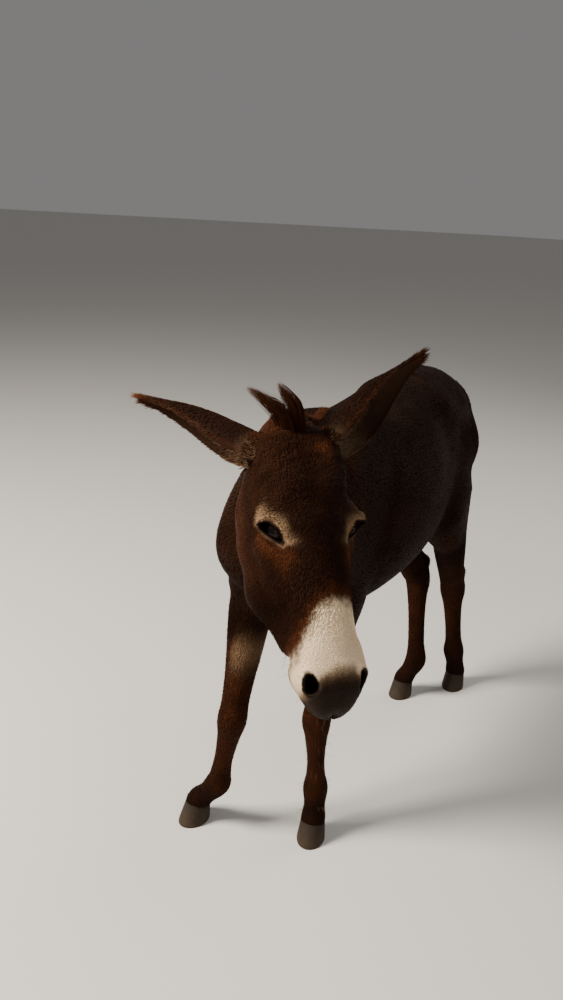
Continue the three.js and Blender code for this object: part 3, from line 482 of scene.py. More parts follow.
def limbDetails(points, d):
    for leg in legs.values():
        knee, fetlock = leg["knee"], leg["fetlock"]
        along = fetlock - knee
        t = (points - knee) @ along / (along @ along)
        d0 = points - knee - t[:, None] * along
        u = d0 @ leg["ahead"]
        v = d0 @ leg["aside"]
        own = (np.abs(v) < 45) & (np.abs(u) < 60)
        cannon = own * ease(0.12, 0.25, t) * ease(0.92, 0.8, t)
        d = d + 2.2 * cannon * bell(u + 8, 6) * ease(7, 15, np.abs(v))
        joint = own * bell(t, 0.16)
        d = d - 1.6 * joint * bell(np.abs(v) - 20, 12) - 1.2 * own * bell(t - 1, 0.07)
    return d


def skinDistance(points):
    where = regionsOf(points)
    d = blended(bodyForms, points)
    near = np.nonzero(np.all((points > headLow - 110) & (points < headHigh + 110), axis=1))[0]
    if len(near):
        p = points[near]
        head = headForms[0]
        found = limbDistance(head, p)
        for form in headForms[1:]:
            found = softMin(found, muscleDistance(form, p), form["blend"])
        d[near] = softMin(d[near], found, 46)
        for hollow, reach in bodyHollows:
            d[near] = softMax(d[near], -muscleDistance(hollow, p), reach)
    d = softMin(d, blended([dockForm], points), 10)
    x, y, z = points.T
    d = d + 5 * bell(x + 205, 60) * bell(z - 925, 70) * ease(90, 130, np.abs(y - 12))
    # The line above hollows the flank; the next one parts the shoulder from the barrel.
    d = d + 3 * bell(x - 190 + 0.5 * (z - 850), 26) * bell(z - 850, 150) * ease(60, 110, np.abs(y - 18))
    d = d + depthAt(points, where)
    near = np.nonzero(where["head"] > 0.5)[0]
    if len(near):
        d[near] = faceDetails(points[near], d[near])
    near = np.nonzero(z < 470)[0]
    if len(near):
        d[near] = limbDetails(points[near], d[near])
    return d


def slopeAt(points, step):
    corners = np.array([(1, -1, -1), (-1, -1, 1), (-1, 1, -1), (1, 1, 1)], dtype=float)
    return sum(c * skinDistance(points + step * c)[:, None] for c in corners) / (4 * step)


def settle(points, step, most, rounds=1):
    # Moves points onto the skin along its slope.
    for _ in range(rounds):
        slope = slopeAt(points, step)
        size = np.maximum((slope ** 2).sum(axis=1), 0.05)
        move = skinDistance(points) / size
        points = points - np.clip(move, -most, most)[:, None] * slope
    return points


# the skin, sampled on a grid that is finer over the head
skinGrid = {"coarse": 7.0, "fine": 3.0, "block": 8}


def ticks(start, fineFrom, fineTo, stop):
    places = list(np.arange(start, fineFrom, skinGrid["coarse"]))
    places += list(np.arange(fineFrom, fineTo, skinGrid["fine"]))
    places += list(np.arange(fineTo, stop, skinGrid["coarse"]))
    while len(places) % skinGrid["block"]:
        places.append(places[-1] + skinGrid["coarse"])
    return np.array(places)


def sampled(axes):
    block = skinGrid["block"]
    counts = [len(a) for a in axes]
    blocks = [n // block for n in counts]
    lows = [a.reshape(-1, block)[:, 0] for a in axes]
    highs = [np.append(low[1:], a[-1] + 1) for low, a in zip(lows, axes)]
    middles = [(low + high) / 2 for low, high in zip(lows, highs)]
    halves = [(high - low) / 2 for low, high in zip(lows, highs)]
    grid = np.stack(np.meshgrid(*middles, indexing="ij"), axis=-1).reshape(-1, 3)
    reach = np.linalg.norm(np.stack(np.meshgrid(*halves, indexing="ij"), axis=-1).reshape(-1, 3), axis=1)
    rough = skinDistance(grid)
    values = np.repeat(np.repeat(np.repeat(rough.reshape(blocks), block, 0), block, 1), block, 2)
    values = values.astype(np.float32)
    chosen = np.nonzero(np.abs(rough) < 1.3 * reach + 8)[0]
    for start in range(0, len(chosen), 400):
        picked = chosen[start:start + 400]
        ijk = np.stack(np.unravel_index(picked, blocks), axis=1) * block
        local = np.stack(np.meshgrid(*[np.arange(block)] * 3, indexing="ij"), axis=-1).reshape(-1, 3)
        index = (ijk[:, None, :] + local[None, :, :]).reshape(-1, 3)
        places = np.stack([axes[n][index[:, n]] for n in range(3)], axis=1)
        values[index[:, 0], index[:, 1], index[:, 2]] = skinDistance(places)
    return values


def surfaceNet(values, axes):
    inside = values < 0
    shape = [n - 1 for n in inside.shape]

    def window(a, corner):
        i, j, k = corner
        return a[i:i + shape[0], j:j + shape[1], k:k + shape[2]]
    corners = list(itertools.product((0, 1), repeat=3))
    filled = sum(window(inside, c).astype(np.int8) for c in corners)
    cells = np.stack(np.nonzero((filled > 0) & (filled < 8)), axis=1)
    at = {c: values[tuple((cells + c).T)] for c in corners}
    total = np.zeros((len(cells), 3))
    crossings = np.zeros(len(cells))
    for c in corners:
        for axis in range(3):
            if c[axis]:
                continue
            end = tuple(1 if n == axis else c[n] for n in range(3))
            crossed = (at[c] < 0) != (at[end] < 0)
            t = np.where(crossed, at[c] / np.where(crossed, at[c] - at[end], 1), 0)
            place = np.tile(np.array(c, dtype=float), (len(cells), 1))
            place[:, axis] = t
            total += place * crossed[:, None]
            crossings += crossed
    share = total / crossings[:, None]
    lows = [axes[n][cells[:, n]] for n in range(3)]
    highs = [axes[n][cells[:, n] + 1] for n in range(3)]
    points = np.stack([mix(lows[n], highs[n], share[:, n]) for n in range(3)], axis=1)
    pointOf = np.full(shape, -1, dtype=np.int32)
    pointOf[tuple(cells.T)] = np.arange(len(cells))
    quads = []
    core = [slice(1, n) for n in shape]
    for axis in range(3):
        step = np.zeros(3, dtype=int)
        step[axis] = 1
        ahead = tuple(slice(1 + step[n], shape[n] + step[n]) for n in range(3))
        here = inside[tuple(core)]
        edges = np.stack(np.nonzero(here != inside[ahead]), axis=1) + 1
        b = np.roll(step, 1)
        c = np.roll(step, 2)
        ring = np.stack([pointOf[tuple((edges - s).T)] for s in (0 * b, b, b + c, c)], axis=1)
        out = ~inside[tuple(edges.T)]
        ring[out] = ring[out][:, ::-1]
        quads.append(ring)
    return points, np.concatenate(quads)


def meshFrom(name, points, faces):
    mesh = bpy.data.meshes.new(name)
    mesh.vertices.add(len(points))
    mesh.vertices.foreach_set("co", toRow(points).astype(np.float32).ravel())
    corners = faces.shape[1]
    mesh.loops.add(faces.size)
    mesh.loops.foreach_set("vertex_index", faces.astype(np.int32).ravel())
    mesh.polygons.add(len(faces))
    mesh.polygons.foreach_set("loop_start", np.arange(0, faces.size, corners, dtype=np.int32))
    mesh.polygons.foreach_set("loop_total", np.full(len(faces), corners, dtype=np.int32))
    mesh.update(calc_edges=True)
    return mesh


def placesOf(mesh):
    flat = np.empty(len(mesh.vertices) * 3, dtype=np.float32)
    mesh.vertices.foreach_get("co", flat)
    return flat.reshape(-1, 3).astype(float) * 1000 - rowShift


def setPlaces(mesh, points):
    mesh.vertices.foreach_set("co", toRow(points).astype(np.float32).ravel())
    mesh.update()


def volumeOf(points, quads):
    a, b, c, d = (points[quads[:, n]] for n in range(4))
    return (np.einsum("ij,ij->i", a, np.cross(b, c)) + np.einsum("ij,ij->i", a, np.cross(c, d))).sum() / 6


def smoothed(points, quads, share):
    total = np.zeros_like(points)
    count = np.zeros(len(points))
    for n in range(4):
        a, b = quads[:, n], quads[:, (n + 1) % 4]
        for start, end in ((a, b), (b, a)):
            count += np.bincount(start, minlength=len(points))
            for axis in range(3):
                total[:, axis] += np.bincount(start, weights=points[end, axis], minlength=len(points))
    return mix(points, total / np.maximum(count, 1)[:, None], share)


skinNet = {
    # start, fine from, fine to and stop on each axis
    "spans": [(-705, 560, 885, 890), (-225, 95, 435, 440), (6, 738, 1172, 1180)],
    "rounds": 14, "share": 0.6, "detail": [(46, 38, 20), (31, 27, 6)],
}
axes = [ticks(*span) for span in skinNet["spans"]]
values = sampled(axes)
print("grid sampled", values.shape)
points, quads = surfaceNet(values, axes)
del values
if volumeOf(points, quads) < 0:
    quads = quads[:, ::-1]
points = smoothed(points, quads, 0.5)
points = settle(points, 1.0, 3.0, 1)
softness = regionsOf(points)
softness = (1 - softness["head"]) * (1 - softness["leg"]) * (1 - softness["tail"]) + 0.25 * softness["leg"]
for _ in range(skinNet["rounds"]):
    points = mix(points, smoothed(points, quads, skinNet["share"]), softness[:, None])
skinMesh = meshFrom("skin", points, quads)
print("skin net", len(points))


def refine(mesh, wanted):
    bm = bmesh.new()
    bm.from_mesh(mesh)
    middles = np.array([f.calc_center_median()[:] for f in bm.faces]) * 1000 - rowShift
    chosen = np.nonzero(wanted(middles))[0]
    bm.faces.ensure_lookup_table()
    edges = {e for i in chosen for e in bm.faces[i].edges}
    bmesh.ops.subdivide_edges(bm, edges=list(edges), cuts=1, use_grid_fill=True)
    bm.to_mesh(mesh)
    bm.free()
    mesh.update()


def nearFeatures(points, eyeReach, nostrilReach, mouthReach):
    x, _, z = inHead(points).T
    chosen = (x > 368) & (np.abs(z - mouth["level"]) < mouthReach) & (x < 480)
    for side in sides:
        for piece, reach in ((eye, eyeReach), (nostril, nostrilReach)):
            middle = onHead(piece["x"], side * piece["spread"], piece["z"])
            chosen |= np.linalg.norm(points - middle, axis=1) < reach
    return chosen


for reaches in skinNet["detail"]:
    refine(skinMesh, lambda p, reaches=reaches: nearFeatures(p, *reaches))
points = placesOf(skinMesh)
picked = np.nonzero(nearFeatures(points, 48, 40, 22))[0]
points[picked] = settle(points[picked], 0.35, 1.6, 3)
setPlaces(skinMesh, points)
print("skin refined", len(points))

# camera, light and floor
camera = {"place": vec(1879, 888, 1507), "ahead": (-0.814, -0.477, -0.331), "right": (-0.506, 0.863, 0.0),
          "roll": 3.07, "focal": 850, "frameHigh": 1000, "sensor": 36.0}


def placeCamera():
    data = bpy.data.cameras.new("camera")
    data.sensor_fit = "AUTO"
    data.sensor_width = camera["sensor"]
    data.lens = camera["focal"] * camera["sensor"] / camera["frameHigh"]
    data.clip_start, data.clip_end = 0.05, 60
    eyeOf = bpy.data.objects.new("camera", data)
    bpy.context.scene.collection.objects.link(eyeOf)
    right = unit(camera["right"])
    back = -unit(camera["ahead"])
    up = np.cross(back, right)
    angle = math.radians(camera["roll"])
    rightTurned = math.cos(angle) * right + math.sin(angle) * up
    upTurned = math.cos(angle) * up - math.sin(angle) * right
    matrix = np.eye(4)
    matrix[:3, 0], matrix[:3, 1], matrix[:3, 2] = rightTurned, upTurned, back
    matrix[:3, 3] = toRow(camera["place"])
    eyeOf.matrix_world = Matrix(matrix.tolist())
    bpy.context.scene.camera = eyeOf


def areaLight(name, place, target, size, power, colour):
    data = bpy.data.lights.new(name, "AREA")
    data.size = size
    data.energy = power
    data.color = colour
    lamp = bpy.data.objects.new(name, data)
    lamp.location = place
    lamp.rotation_euler = (Vector(target) - Vector(place)).to_track_quat("-Z", "Y").to_euler()
    bpy.context.scene.collection.objects.link(lamp)


studio = {
    "floor": (0.66, 0.64, 0.61),
    "floorHalf": 60,
    "world": (0.95, 0.93, 0.92),
    "worldPower": 0.22,
    "lamps": [
        ("key", (2.6, -2.6, 3.6), (0.2, 0.0, 0.8), 1.5, 540, (1.0, 0.93, 0.82)),
        ("fill", (2.4, 3.2, 2.2), (0.2, 0.0, 0.7), 2.6, 36, (1.0, 0.97, 0.93)),
        ("rim", (-3.2, 1.2, 3.2), (-0.2, 0.0, 0.8), 2.4, 62, (1.0, 0.95, 0.88)),
    ],
}
placeCamera()
for lamp in studio["lamps"]:
    areaLight(*lamp)
world = bpy.data.worlds.new("studio")
world.use_nodes = True
world.node_tree.nodes["Background"].inputs["Color"].default_value = (*studio["world"], 1)
world.node_tree.nodes["Background"].inputs["Strength"].default_value = studio["worldPower"]
bpy.context.scene.world = world
floorMesh = bpy.data.meshes.new("floor")
far = studio["floorHalf"]
floorMesh.from_pydata([(-far, -far, 0), (far, -far, 0), (far, far, 0), (-far, far, 0)], [], [(0, 1, 2, 3)])
floor = bpy.data.objects.new("floor", floorMesh)
bpy.context.scene.collection.objects.link(floor)
floorPaint = bpy.data.materials.new("floor")
floorPaint.use_nodes = True
floorPaint.node_tree.nodes["Principled BSDF"].inputs["Base Color"].default_value = (*studio["floor"], 1)
floorPaint.node_tree.nodes["Principled BSDF"].inputs["Roughness"].default_value = 0.9
floorMesh.materials.append(floorPaint)
print("studio set")

# markings, the same on skin and coat: white, russet, pale, bare
marking = {
    "white": {"edge": 307, "soft": 15},
    "russet": {"underEye": 0.85, "edge": 0.8, "temple": 0.7, "jaw": 0.45, "nose": 0.6, "crest": 0.5,
               "foreShank": 0.62, "hindShank": 0.45, "belly": 0.55, "neck": 0.10},
    # The pale forearm patch, its strength here and its place below, is lighter coat partly painted with
    # sunlight.
    "pale": {"underEye": 0.38, "overEye": 0.95, "nose": 0.50, "forearm": 0.5},
    "forearm": {"level": 505, "half": 40},
}


def marksAt(points, where):
    red, light = marking["russet"], marking["pale"]
    n = {cell: grain(points, cell, cell) for cell in (5, 12, 30, 80)}
    x, y, z = where["face"].T
    px, _, pz = points.T
    head = where["head"]
    slant = np.where(y < 0, 0.024, 0.004) * y * y
    edge = marking["white"]["edge"] + slant + 0.25 * np.maximum(0, -70 - z) + 8 * n[30] + 6 * n[12] + 4 * n[5]
    white = head * ease(-marking["white"]["soft"], marking["white"]["soft"], x - edge)
    rims = np.full(len(points), 99.0)
    bare = np.zeros(len(points))
    pale = np.zeros(len(points))
    russet = np.zeros(len(points))
    nearNose = np.nonzero((head > 0.5) & (x > 330))[0]
    for side in sides:
        c, ring = nostrilPlace(points[nearNose], side)
        rims[nearNose] = np.minimum(rims[nearNose], np.maximum(ring, np.abs(c) / 24))
        h, v, out, r = inLocal(points, eye, side)
        opening = eyeOpening(h, v, side)
        front = head * (out > -6) * (r < 90)
        lids = front * bell(np.maximum(opening, 0), 3.4) * (r < 40)
        bare = np.maximum(bare, lids)
        upper = ease(-5, 7, v)
        halo = bell(np.maximum(opening - 6, 0), mix(3.0, 13.0, upper) + 2 * n[12]) * ease(2.5, 5.5, opening)
        pale = np.maximum(pale, front * halo * mix(light["underEye"], light["overEye"], upper))
        under = bell(opening - 22, 15) * ease(6, -8, v + 3 * n[12])
        russet = np.maximum(russet, front * red["underEye"] * under)
    russet = np.maximum(russet, red["edge"] * head * bell(x - edge + 16, 15) * (x < edge + 12))
    russet = np.maximum(russet, red["temple"] * head * bell(x - 52, 26) * bell(y - 34, 15) * (z > -60))
    russet = np.maximum(russet, red["jaw"] * head * ease(-90, -130, z) * ease(300, 120, x))
    nose = ease(1.42, 1.08, rims + 0.10 * n[5])
    tip = x + 5 * n[12] - 0.9 * np.maximum(0, np.abs(y) - 24)
    front = ease(408, 436, tip) * ease(-108, -100, z)
    lips = bell(z + 103 - 2 * n[12], 6) * ease(384, 404, x)
    dark = head * np.maximum(nose, np.maximum(0.94 * front, 0.75 * lips))
    tan = head * ease(398, 426, tip) * ease(-104, -92, z)
    white = white * (1 - 0.85 * tan) * (1 - np.clip(dark, 0, 0.96))
    pale = np.maximum(pale, tan * (light["nose"] + 0.2 * n[12]))
    russet = np.maximum(russet, red["nose"] * tan)
    bare = np.maximum(bare, dark)
    ridge = ease(40, 90, x) * ease(20, 60, edge - x) * ease(62, 30, np.abs(y)) * ease(-75, -45, z)
    bare = np.maximum(bare, head * ridge * (0.26 + 0.10 * n[30]) * (1 - pale) * (1 - russet))
    crest = where["neck"] * (1 - head) * ease(60, 120, pz - 0.32 * px - 800)
    russet = np.maximum(russet, red["crest"] * crest)
    for leg in legs.values():
        knee = leg["knee"]
        near = bell((points - knee) @ leg["aside"], 60) * bell((points - knee) @ leg["ahead"], 150)
        shank = near * ease(600, 500, pz) * ease(60, 170, pz)
        strength = red["foreShank"] if leg["fore"] else red["hindShank"]
        russet = np.maximum(russet, shank * strength * (0.75 + 0.25 * n[30]))
        # The pale patch inside each forearm is partly lighter coat and partly painted sunlight.
        if leg["fore"]:
            inward = unit(0.25 * leg["ahead"] - leg["side"] * leg["aside"])
            across = (points - mix(leg["top"], knee, 0.45)) @ inward
            away = pz - marking["forearm"]["level"] - 8 * n[30]
            patch = bell(away, marking["forearm"]["half"]) * near * ease(-2, 20, across + 5 * n[12])
            pale = np.maximum(pale, light["forearm"] * patch)
    belly = ease(640, 575, pz) * bell(px + 40, 260) * (1 - where["leg"])
    russet = np.maximum(russet, red["belly"] * belly)
    russet = np.clip(russet + 0.10 * n[80] + 0.08 * n[30] + red["neck"] * where["neck"], 0, 1)
    return np.clip(np.stack([white, russet, pale, bare], axis=1), 0, 1)


def addMarks(mesh, marks, name="marks"):
    layer = mesh.color_attributes.new(name, "FLOAT_COLOR", "POINT")
    layer.data.foreach_set("color", marks.astype(np.float32).ravel())


def finished(mesh, marks, paint):
    addMarks(mesh, marks)
    mesh.polygons.foreach_set("use_smooth", np.ones(len(mesh.polygons), dtype=bool))
    mesh.materials.append(paints[paint])


def tubeFaces(levels, around):
    # The four-sided faces between rings of points, one ring after the other.
    i, j = (g.ravel() for g in np.meshgrid(np.arange(levels - 1), np.arange(around), indexing="ij"))
    k = (j + 1) % around
    return np.stack([i * around + j, i * around + k, (i + 1) * around + k, (i + 1) * around + j], axis=1)


def closeEnds(mesh, around):
    bm = bmesh.new()
    bm.from_mesh(mesh)
    bmesh.ops.holes_fill(bm, edges=bm.edges, sides=around)
    bmesh.ops.recalc_face_normals(bm, faces=bm.faces)
    bm.to_mesh(mesh)
    bm.free()


# materials
class Tree:
    def __init__(self, name):
        self.material = bpy.data.materials.new(name)
        self.material.use_nodes = True
        self.tree = self.material.node_tree
        self.shader = self.tree.nodes["Principled BSDF"]

    def node(self, kind, **settings):
        made = self.tree.nodes.new(kind)
        for key, value in settings.items():
            setattr(made, key, value)
        return made

    def link(self, start, end):
        self.tree.links.new(start, end)

    def attribute(self, name):
        found = self.node("ShaderNodeAttribute", attribute_name=name)
        split = self.node("ShaderNodeSeparateColor")
        self.link(found.outputs["Color"], split.inputs["Color"])
        return split.outputs["Red"], split.outputs["Green"], split.outputs["Blue"], found.outputs["Alpha"]

    def noise(self, scale, detail=3.0, roughness=0.6):
        place = self.node("ShaderNodeTexCoord")
        made = self.node("ShaderNodeTexNoise")
        made.inputs["Scale"].default_value = scale
        made.inputs["Detail"].default_value = detail
        made.inputs["Roughness"].default_value = roughness
        self.link(place.outputs["Object"], made.inputs["Vector"])
        return made.outputs["Fac"]

    def math(self, operation, a, b=0.0, c=0.0):
        made = self.node("ShaderNodeMath", operation=operation)
        for socket, value in zip(made.inputs, (a, b, c)):
            if isinstance(value, (int, float)):
                socket.default_value = value
            else:
                self.link(value, socket)
        return made.outputs[0]

    def blend(self, share, a, b, kind="MIX"):
        made = self.node("ShaderNodeMix", data_type="RGBA", blend_type=kind)
        for socket, value in ((made.inputs[0], share), (made.inputs[6], a), (made.inputs[7], b)):
            if isinstance(value, tuple):
                socket.default_value = (*value, 1)
            elif isinstance(value, (int, float)):
                socket.default_value = value
            else:
                self.link(value, socket)
        return made.outputs[2]

    def grey(self, value):
        made = self.node("ShaderNodeCombineColor")
        for socket in made.inputs[:3]:
            self.link(value, socket)
        return made.outputs[0]

    def bump(self, height, distance, strength=1.0):
        made = self.node("ShaderNodeBump")
        made.inputs["Distance"].default_value = distance
        made.inputs["Strength"].default_value = strength
        self.link(height, made.inputs["Height"])
        self.link(made.outputs["Normal"], self.shader.inputs["Normal"])

    def set(self, **values):
        for name, value in values.items():
            self.shader.inputs[name.replace("_", " ")].default_value = value


coatPaint = {
    "dark": (0.0052, 0.0019, 0.0010), "brown": (0.0175, 0.0058, 0.0025), "russet": (0.066, 0.0200, 0.0074),
    "pale": (0.31, 0.195, 0.110), "white": (0.88, 0.70, 0.48), "bare": (0.0105, 0.0058, 0.0040),
}


def coatColour(t, tufted):
    white, russet, pale, bare = t.attribute("marks")
    broad = t.noise(7, 4)
    fine = t.noise(260, 2)
    level = t.math("MULTIPLY_ADD", broad, 1.6, -0.45)
    base = t.blend(t.math("MULTIPLY_ADD", fine, 0.5, level), coatPaint["dark"], coatPaint["brown"])
    colour = t.blend(russet, base, coatPaint["russet"])
    colour = t.blend(pale, colour, coatPaint["pale"])
    colour = t.blend(white, colour, coatPaint["white"])
    colour = t.blend(bare, colour, coatPaint["bare"])
    if tufted:
        chance, along, _, _ = t.attribute("lock")
        lighten = t.math("MULTIPLY_ADD", chance, 0.45, t.math("MULTIPLY_ADD", along, 0.30, 0.66))
        colour = t.blend(1.0, colour, t.grey(lighten), "MULTIPLY")
    return colour, bare


def skinMaterial():
    t = Tree("coat_skin")
    colour, bare = coatColour(t, False)
    shade = t.blend(1.0, colour, (0.80, 0.78, 0.78), "MULTIPLY")
    t.link(shade, t.shader.inputs["Base Color"])
    t.link(t.math("MULTIPLY_ADD", bare, -0.18, 0.72), t.shader.inputs["Roughness"])
    pores = t.math("ADD", t.noise(900, 2), t.math("MULTIPLY", t.noise(240, 3), 0.7))
    t.bump(pores, 0.0008, 0.8)
    t.set(Specular_IOR_Level=0.05)
    return t.material


def tuftMaterial():
    t = Tree("coat_tufts")
    colour, _ = coatColour(t, True)
    t.link(colour, t.shader.inputs["Base Color"])
    t.set(Roughness=0.55, Specular_IOR_Level=0.05, Sheen_Weight=0.004, Sheen_Roughness=0.5,
          Sheen_Tint=(0.85, 0.50, 0.32, 1), Specular_Tint=(1.0, 0.62, 0.42, 1))
    return t.material


paints = {"skin": skinMaterial(), "tufts": tuftMaterial()}
print("materials made")

# ears
earShape = {"length": 295, "width": 84, "thick": 7, "wrap": 2.25, "open": 1.25, "sag": 26, "inset": 1.5,
            "along": 84, "around": 26}


def earRoot(side):
    return onHead(40, side * 42, -46)


ears = {
    "ear_right": {"root": earRoot(-1), "way": turned(-0.617, -0.603, -0.495),
                  "mouth": turned(0.88, -0.43, -0.17), "side": -1},
    "ear_left": {"root": earRoot(1), "way": turned(-0.59, 0.77, 0.18),
                 "mouth": turned(0.77, 0.34, 0.51), "side": 1},
}
for ear in ears.values():
    ear["across"] = unit(np.cross(ear["way"], ear["mouth"]))
    ear["open"] = unit(np.cross(ear["across"], ear["way"]))


def earWrap(t):
    return mix(earShape["wrap"], earShape["open"], np.minimum(1, t * 1.15))


def earPlace(ear, t, angle, layer):
    # t runs from root to tip, angle round the ear's back, layer out of its middle.
    half = earShape["width"] / 2 * (0.54 + 0.46 * np.sin(np.pi * np.minimum(1, t * 1.05 + 0.06)))
    half = half * np.sqrt(np.maximum(0.02, 1 - t ** 3))
    radius = half / np.sin(np.minimum(earWrap(t), np.pi / 2))
    sag = earShape["sag"] * np.sin(np.pi * t * 0.9)
    spine = ear["root"] + (earShape["length"] * t)[:, None] * ear["way"] - (0.35 * sag)[:, None] * ear["open"]
    out = (np.sin(angle) * (radius + layer))[:, None] * ear["across"]
    lift = mix(0.35, 0.55, np.minimum(1, t / 0.3))
    deep = (radius * lift - np.cos(angle) * (radius + layer))[:, None] * ear["open"]
    return spine + out + deep


def earHalf(t, spread):
    # Half the leaf's thickness, thinner at the rims.
    full = earShape["thick"] * mix(1.2, 0.75, t) / 2 - earShape["inset"]
    return np.maximum(0.5, full * (1 - 0.55 * np.abs(spread) ** 3))


def earMesh(ear):
    count = earShape["around"]
    spread = np.linspace(-1, 1, count)
    ts = np.linspace(0, 1, earShape["along"])
    rings = []
    for t in ts:
        full = np.full(count, t)
        wrap = earWrap(full)
        thick = earHalf(full, spread)
        ridges = 0.9 * np.cos(spread * 9) * ease(0.9, 0.2, t) * (1 - spread ** 4)
        back = earPlace(ear, full, spread * wrap, thick)
        front = earPlace(ear, full, spread * wrap, -thick - ridges)[::-1]
        rims = [earPlace(ear, full[:1], np.array([s * wrap[0] * 1.025]), np.zeros(1)) for s in (1, -1)]
        rings.append(np.concatenate([back, rims[0], front, rims[1]]))
    size = len(rings[0])
    points = np.concatenate(rings)
    faces = tubeFaces(len(rings), size)
    points = np.concatenate([points, [rings[-1].mean(axis=0)]])
    i = np.arange(size) + (len(rings) - 1) * size
    cap = np.stack([i, np.roll(i, -1), np.full(size, len(points) - 1)], axis=1)
    where = np.repeat(ts, size)
    inner = np.tile(np.concatenate([np.zeros(count), [0.5], np.ones(count), [0.5]]), len(rings))
    rim = np.tile(np.concatenate([np.abs(spread), [1], np.abs(spread), [1]]), len(rings))
    return points, faces, cap, np.append(where, 1), np.append(inner, 0.5), np.append(rim, 1)


def earMarks(points, t, inner, rim):
    n = grain(points, 9, 3)
    tip = ease(0.86, 0.97, t + 0.02 * n)
    russet = np.maximum(tip, 0.5 * bell(rim - 1, 0.12)) * (1 - 0.5 * inner) + 0.08 * n + 0.16 * inner
    pale = inner * (0.06 + 0.62 * ease(0.46, 0.05, t + 0.05 * n)) * ease(1.02, 0.86, rim + 0.05 * n)
    pale = np.maximum(pale, 0.5 * (1 - inner) * ease(0.20, 0.02, t) * ease(0.3, 0.9, rim))
    bare = 0.35 * bell(rim - 1, 0.07) * (1 - tip)
    return np.clip(np.stack([0 * t, russet, pale * (1 - 0.7 * tip), bare], axis=1), 0, 1)


skinPoints = placesOf(skinMesh)
skinWhere = regionsOf(skinPoints)
skinMarks = marksAt(skinPoints, skinWhere)
bm = bmesh.new()
bm.from_mesh(skinMesh)
for name, ear in ears.items():
    places, faces, cap, t, inner, rim = earMesh(ear)
    earMade = bpy.data.meshes.new(name)
    earMade.from_pydata(toRow(places).tolist(), [], [*map(list, faces), *map(list, cap)])
    bm.from_mesh(earMade)
    bpy.data.meshes.remove(earMade)
    skinMarks = np.concatenate([skinMarks, earMarks(places, t, inner, rim)])
bmesh.ops.recalc_face_normals(bm, faces=bm.faces[-2 * (len(faces) + len(cap)):])
bm.to_mesh(skinMesh)
bm.free()
finished(skinMesh, skinMarks, "skin")
skinMesh.update()


def place(name, mesh, slotName, *nodes):
    made = bpy.data.objects.new(name, mesh)
    bpy.context.scene.collection.objects.link(made)
    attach(made, "root")
    if nodes:
        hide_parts(*nodes)


legNodes = [f"leg_{name}_{half}" for name in legs for half in ("upper", "lower")]
place("skin", skinMesh, "coat", "head", "neck", "trunk", "tail_dock", *ears, *legNodes)
print("skin placed", len(skinMesh.vertices))

# eyes
eyePaint = {"pupil": (0.002, 0.002, 0.003), "iris": (0.012, 0.0055, 0.0032), "sclera": (0.012, 0.0075, 0.006)}


def eyeMaterial():
    t = Tree("eye_wet")
    pupil, iris, streak, _ = t.attribute("marks")
    fibres = t.math("MULTIPLY_ADD", streak, 0.6, 0.6)
    colour = t.blend(iris, eyePaint["sclera"], eyePaint["iris"])
    colour = t.blend(1.0, colour, t.grey(fibres), "MULTIPLY")
    colour = t.blend(pupil, colour, eyePaint["pupil"])
    t.link(colour, t.shader.inputs["Base Color"])
    t.set(Roughness=0.30, Specular_IOR_Level=0.12, Coat_Weight=0.42, Coat_Roughness=0.03, Coat_IOR=1.34)
    return t.material


paints["eye"] = eyeMaterial()
eyeball = {"around": 96, "levels": 60, "bulge": 0.6, "pupilLong": 7.6, "pupilHigh": 3.4}
for side, name in ((1, "left"), (-1, "right")):
    middle, run, rise, out = localFrame(eye, side)
    around, levels = eyeball["around"], eyeball["levels"]
    polar = np.linspace(0.001, np.pi - 0.001, levels)
    turn = np.arange(around) / around * 2 * np.pi
    a, b = (g.ravel() for g in np.meshgrid(polar, turn, indexing="ij"))
    radius = eye["radius"] + eyeball["bulge"] * ease(0.95, 0.2, a)
    outward = np.cos(b)[:, None] * run + np.sin(b)[:, None] * rise
    ways = np.cos(a)[:, None] * out + np.sin(a)[:, None] * outward
    places = middle + radius[:, None] * ways
    h, v = (places - middle) @ run, (places - middle) @ rise
    ring = np.sqrt((h / eyeball["pupilLong"]) ** 2 + (v / eyeball["pupilHigh"]) ** 2)
    pupil = ease(1.12, 0.9, ring) * (a < 1)
    iris = ease(0.80, 0.72, a)
    streak = 0.5 + 0.5 * np.sin(b * 37 + 2 * np.sin(b * 11)) * ease(0.2, 0.5, a)
    eyeMesh = meshFrom(f"eyeball_{name}", places, tubeFaces(levels, around))
    closeEnds(eyeMesh, around)
    finished(eyeMesh, np.stack([pupil, iris, streak, np.ones(len(a))], axis=1), "eye")
    place(f"eyeball_{name}", eyeMesh, "eye", f"eye_{name}")
print("eyes placed")

# hooves
hoofPaint = {"horn": (0.020, 0.014, 0.0105), "dust": (0.058, 0.038, 0.024), "dark": (0.009, 0.0068, 0.0055)}


def hoofMaterial():
    t = Tree("hoof_horn")
    rings, height, _, _ = t.attribute("marks")
    base = t.blend(t.noise(24, 4), hoofPaint["dark"], hoofPaint["horn"])
    dusty = t.math("MULTIPLY", t.noise(40, 5, 0.7), t.math("MULTIPLY_ADD", height, -0.9, 1.15))
    colour = t.blend(t.math("MULTIPLY_ADD", rings, 0.10, dusty), base, hoofPaint["dust"])
    t.link(colour, t.shader.inputs["Base Color"])
    t.set(Roughness=0.7, Specular_IOR_Level=0.15)
    t.bump(t.math("ADD", t.noise(300, 3), t.math("MULTIPLY", t.noise(60, 3), 1.4)), 0.0009, 0.7)
    return t.material


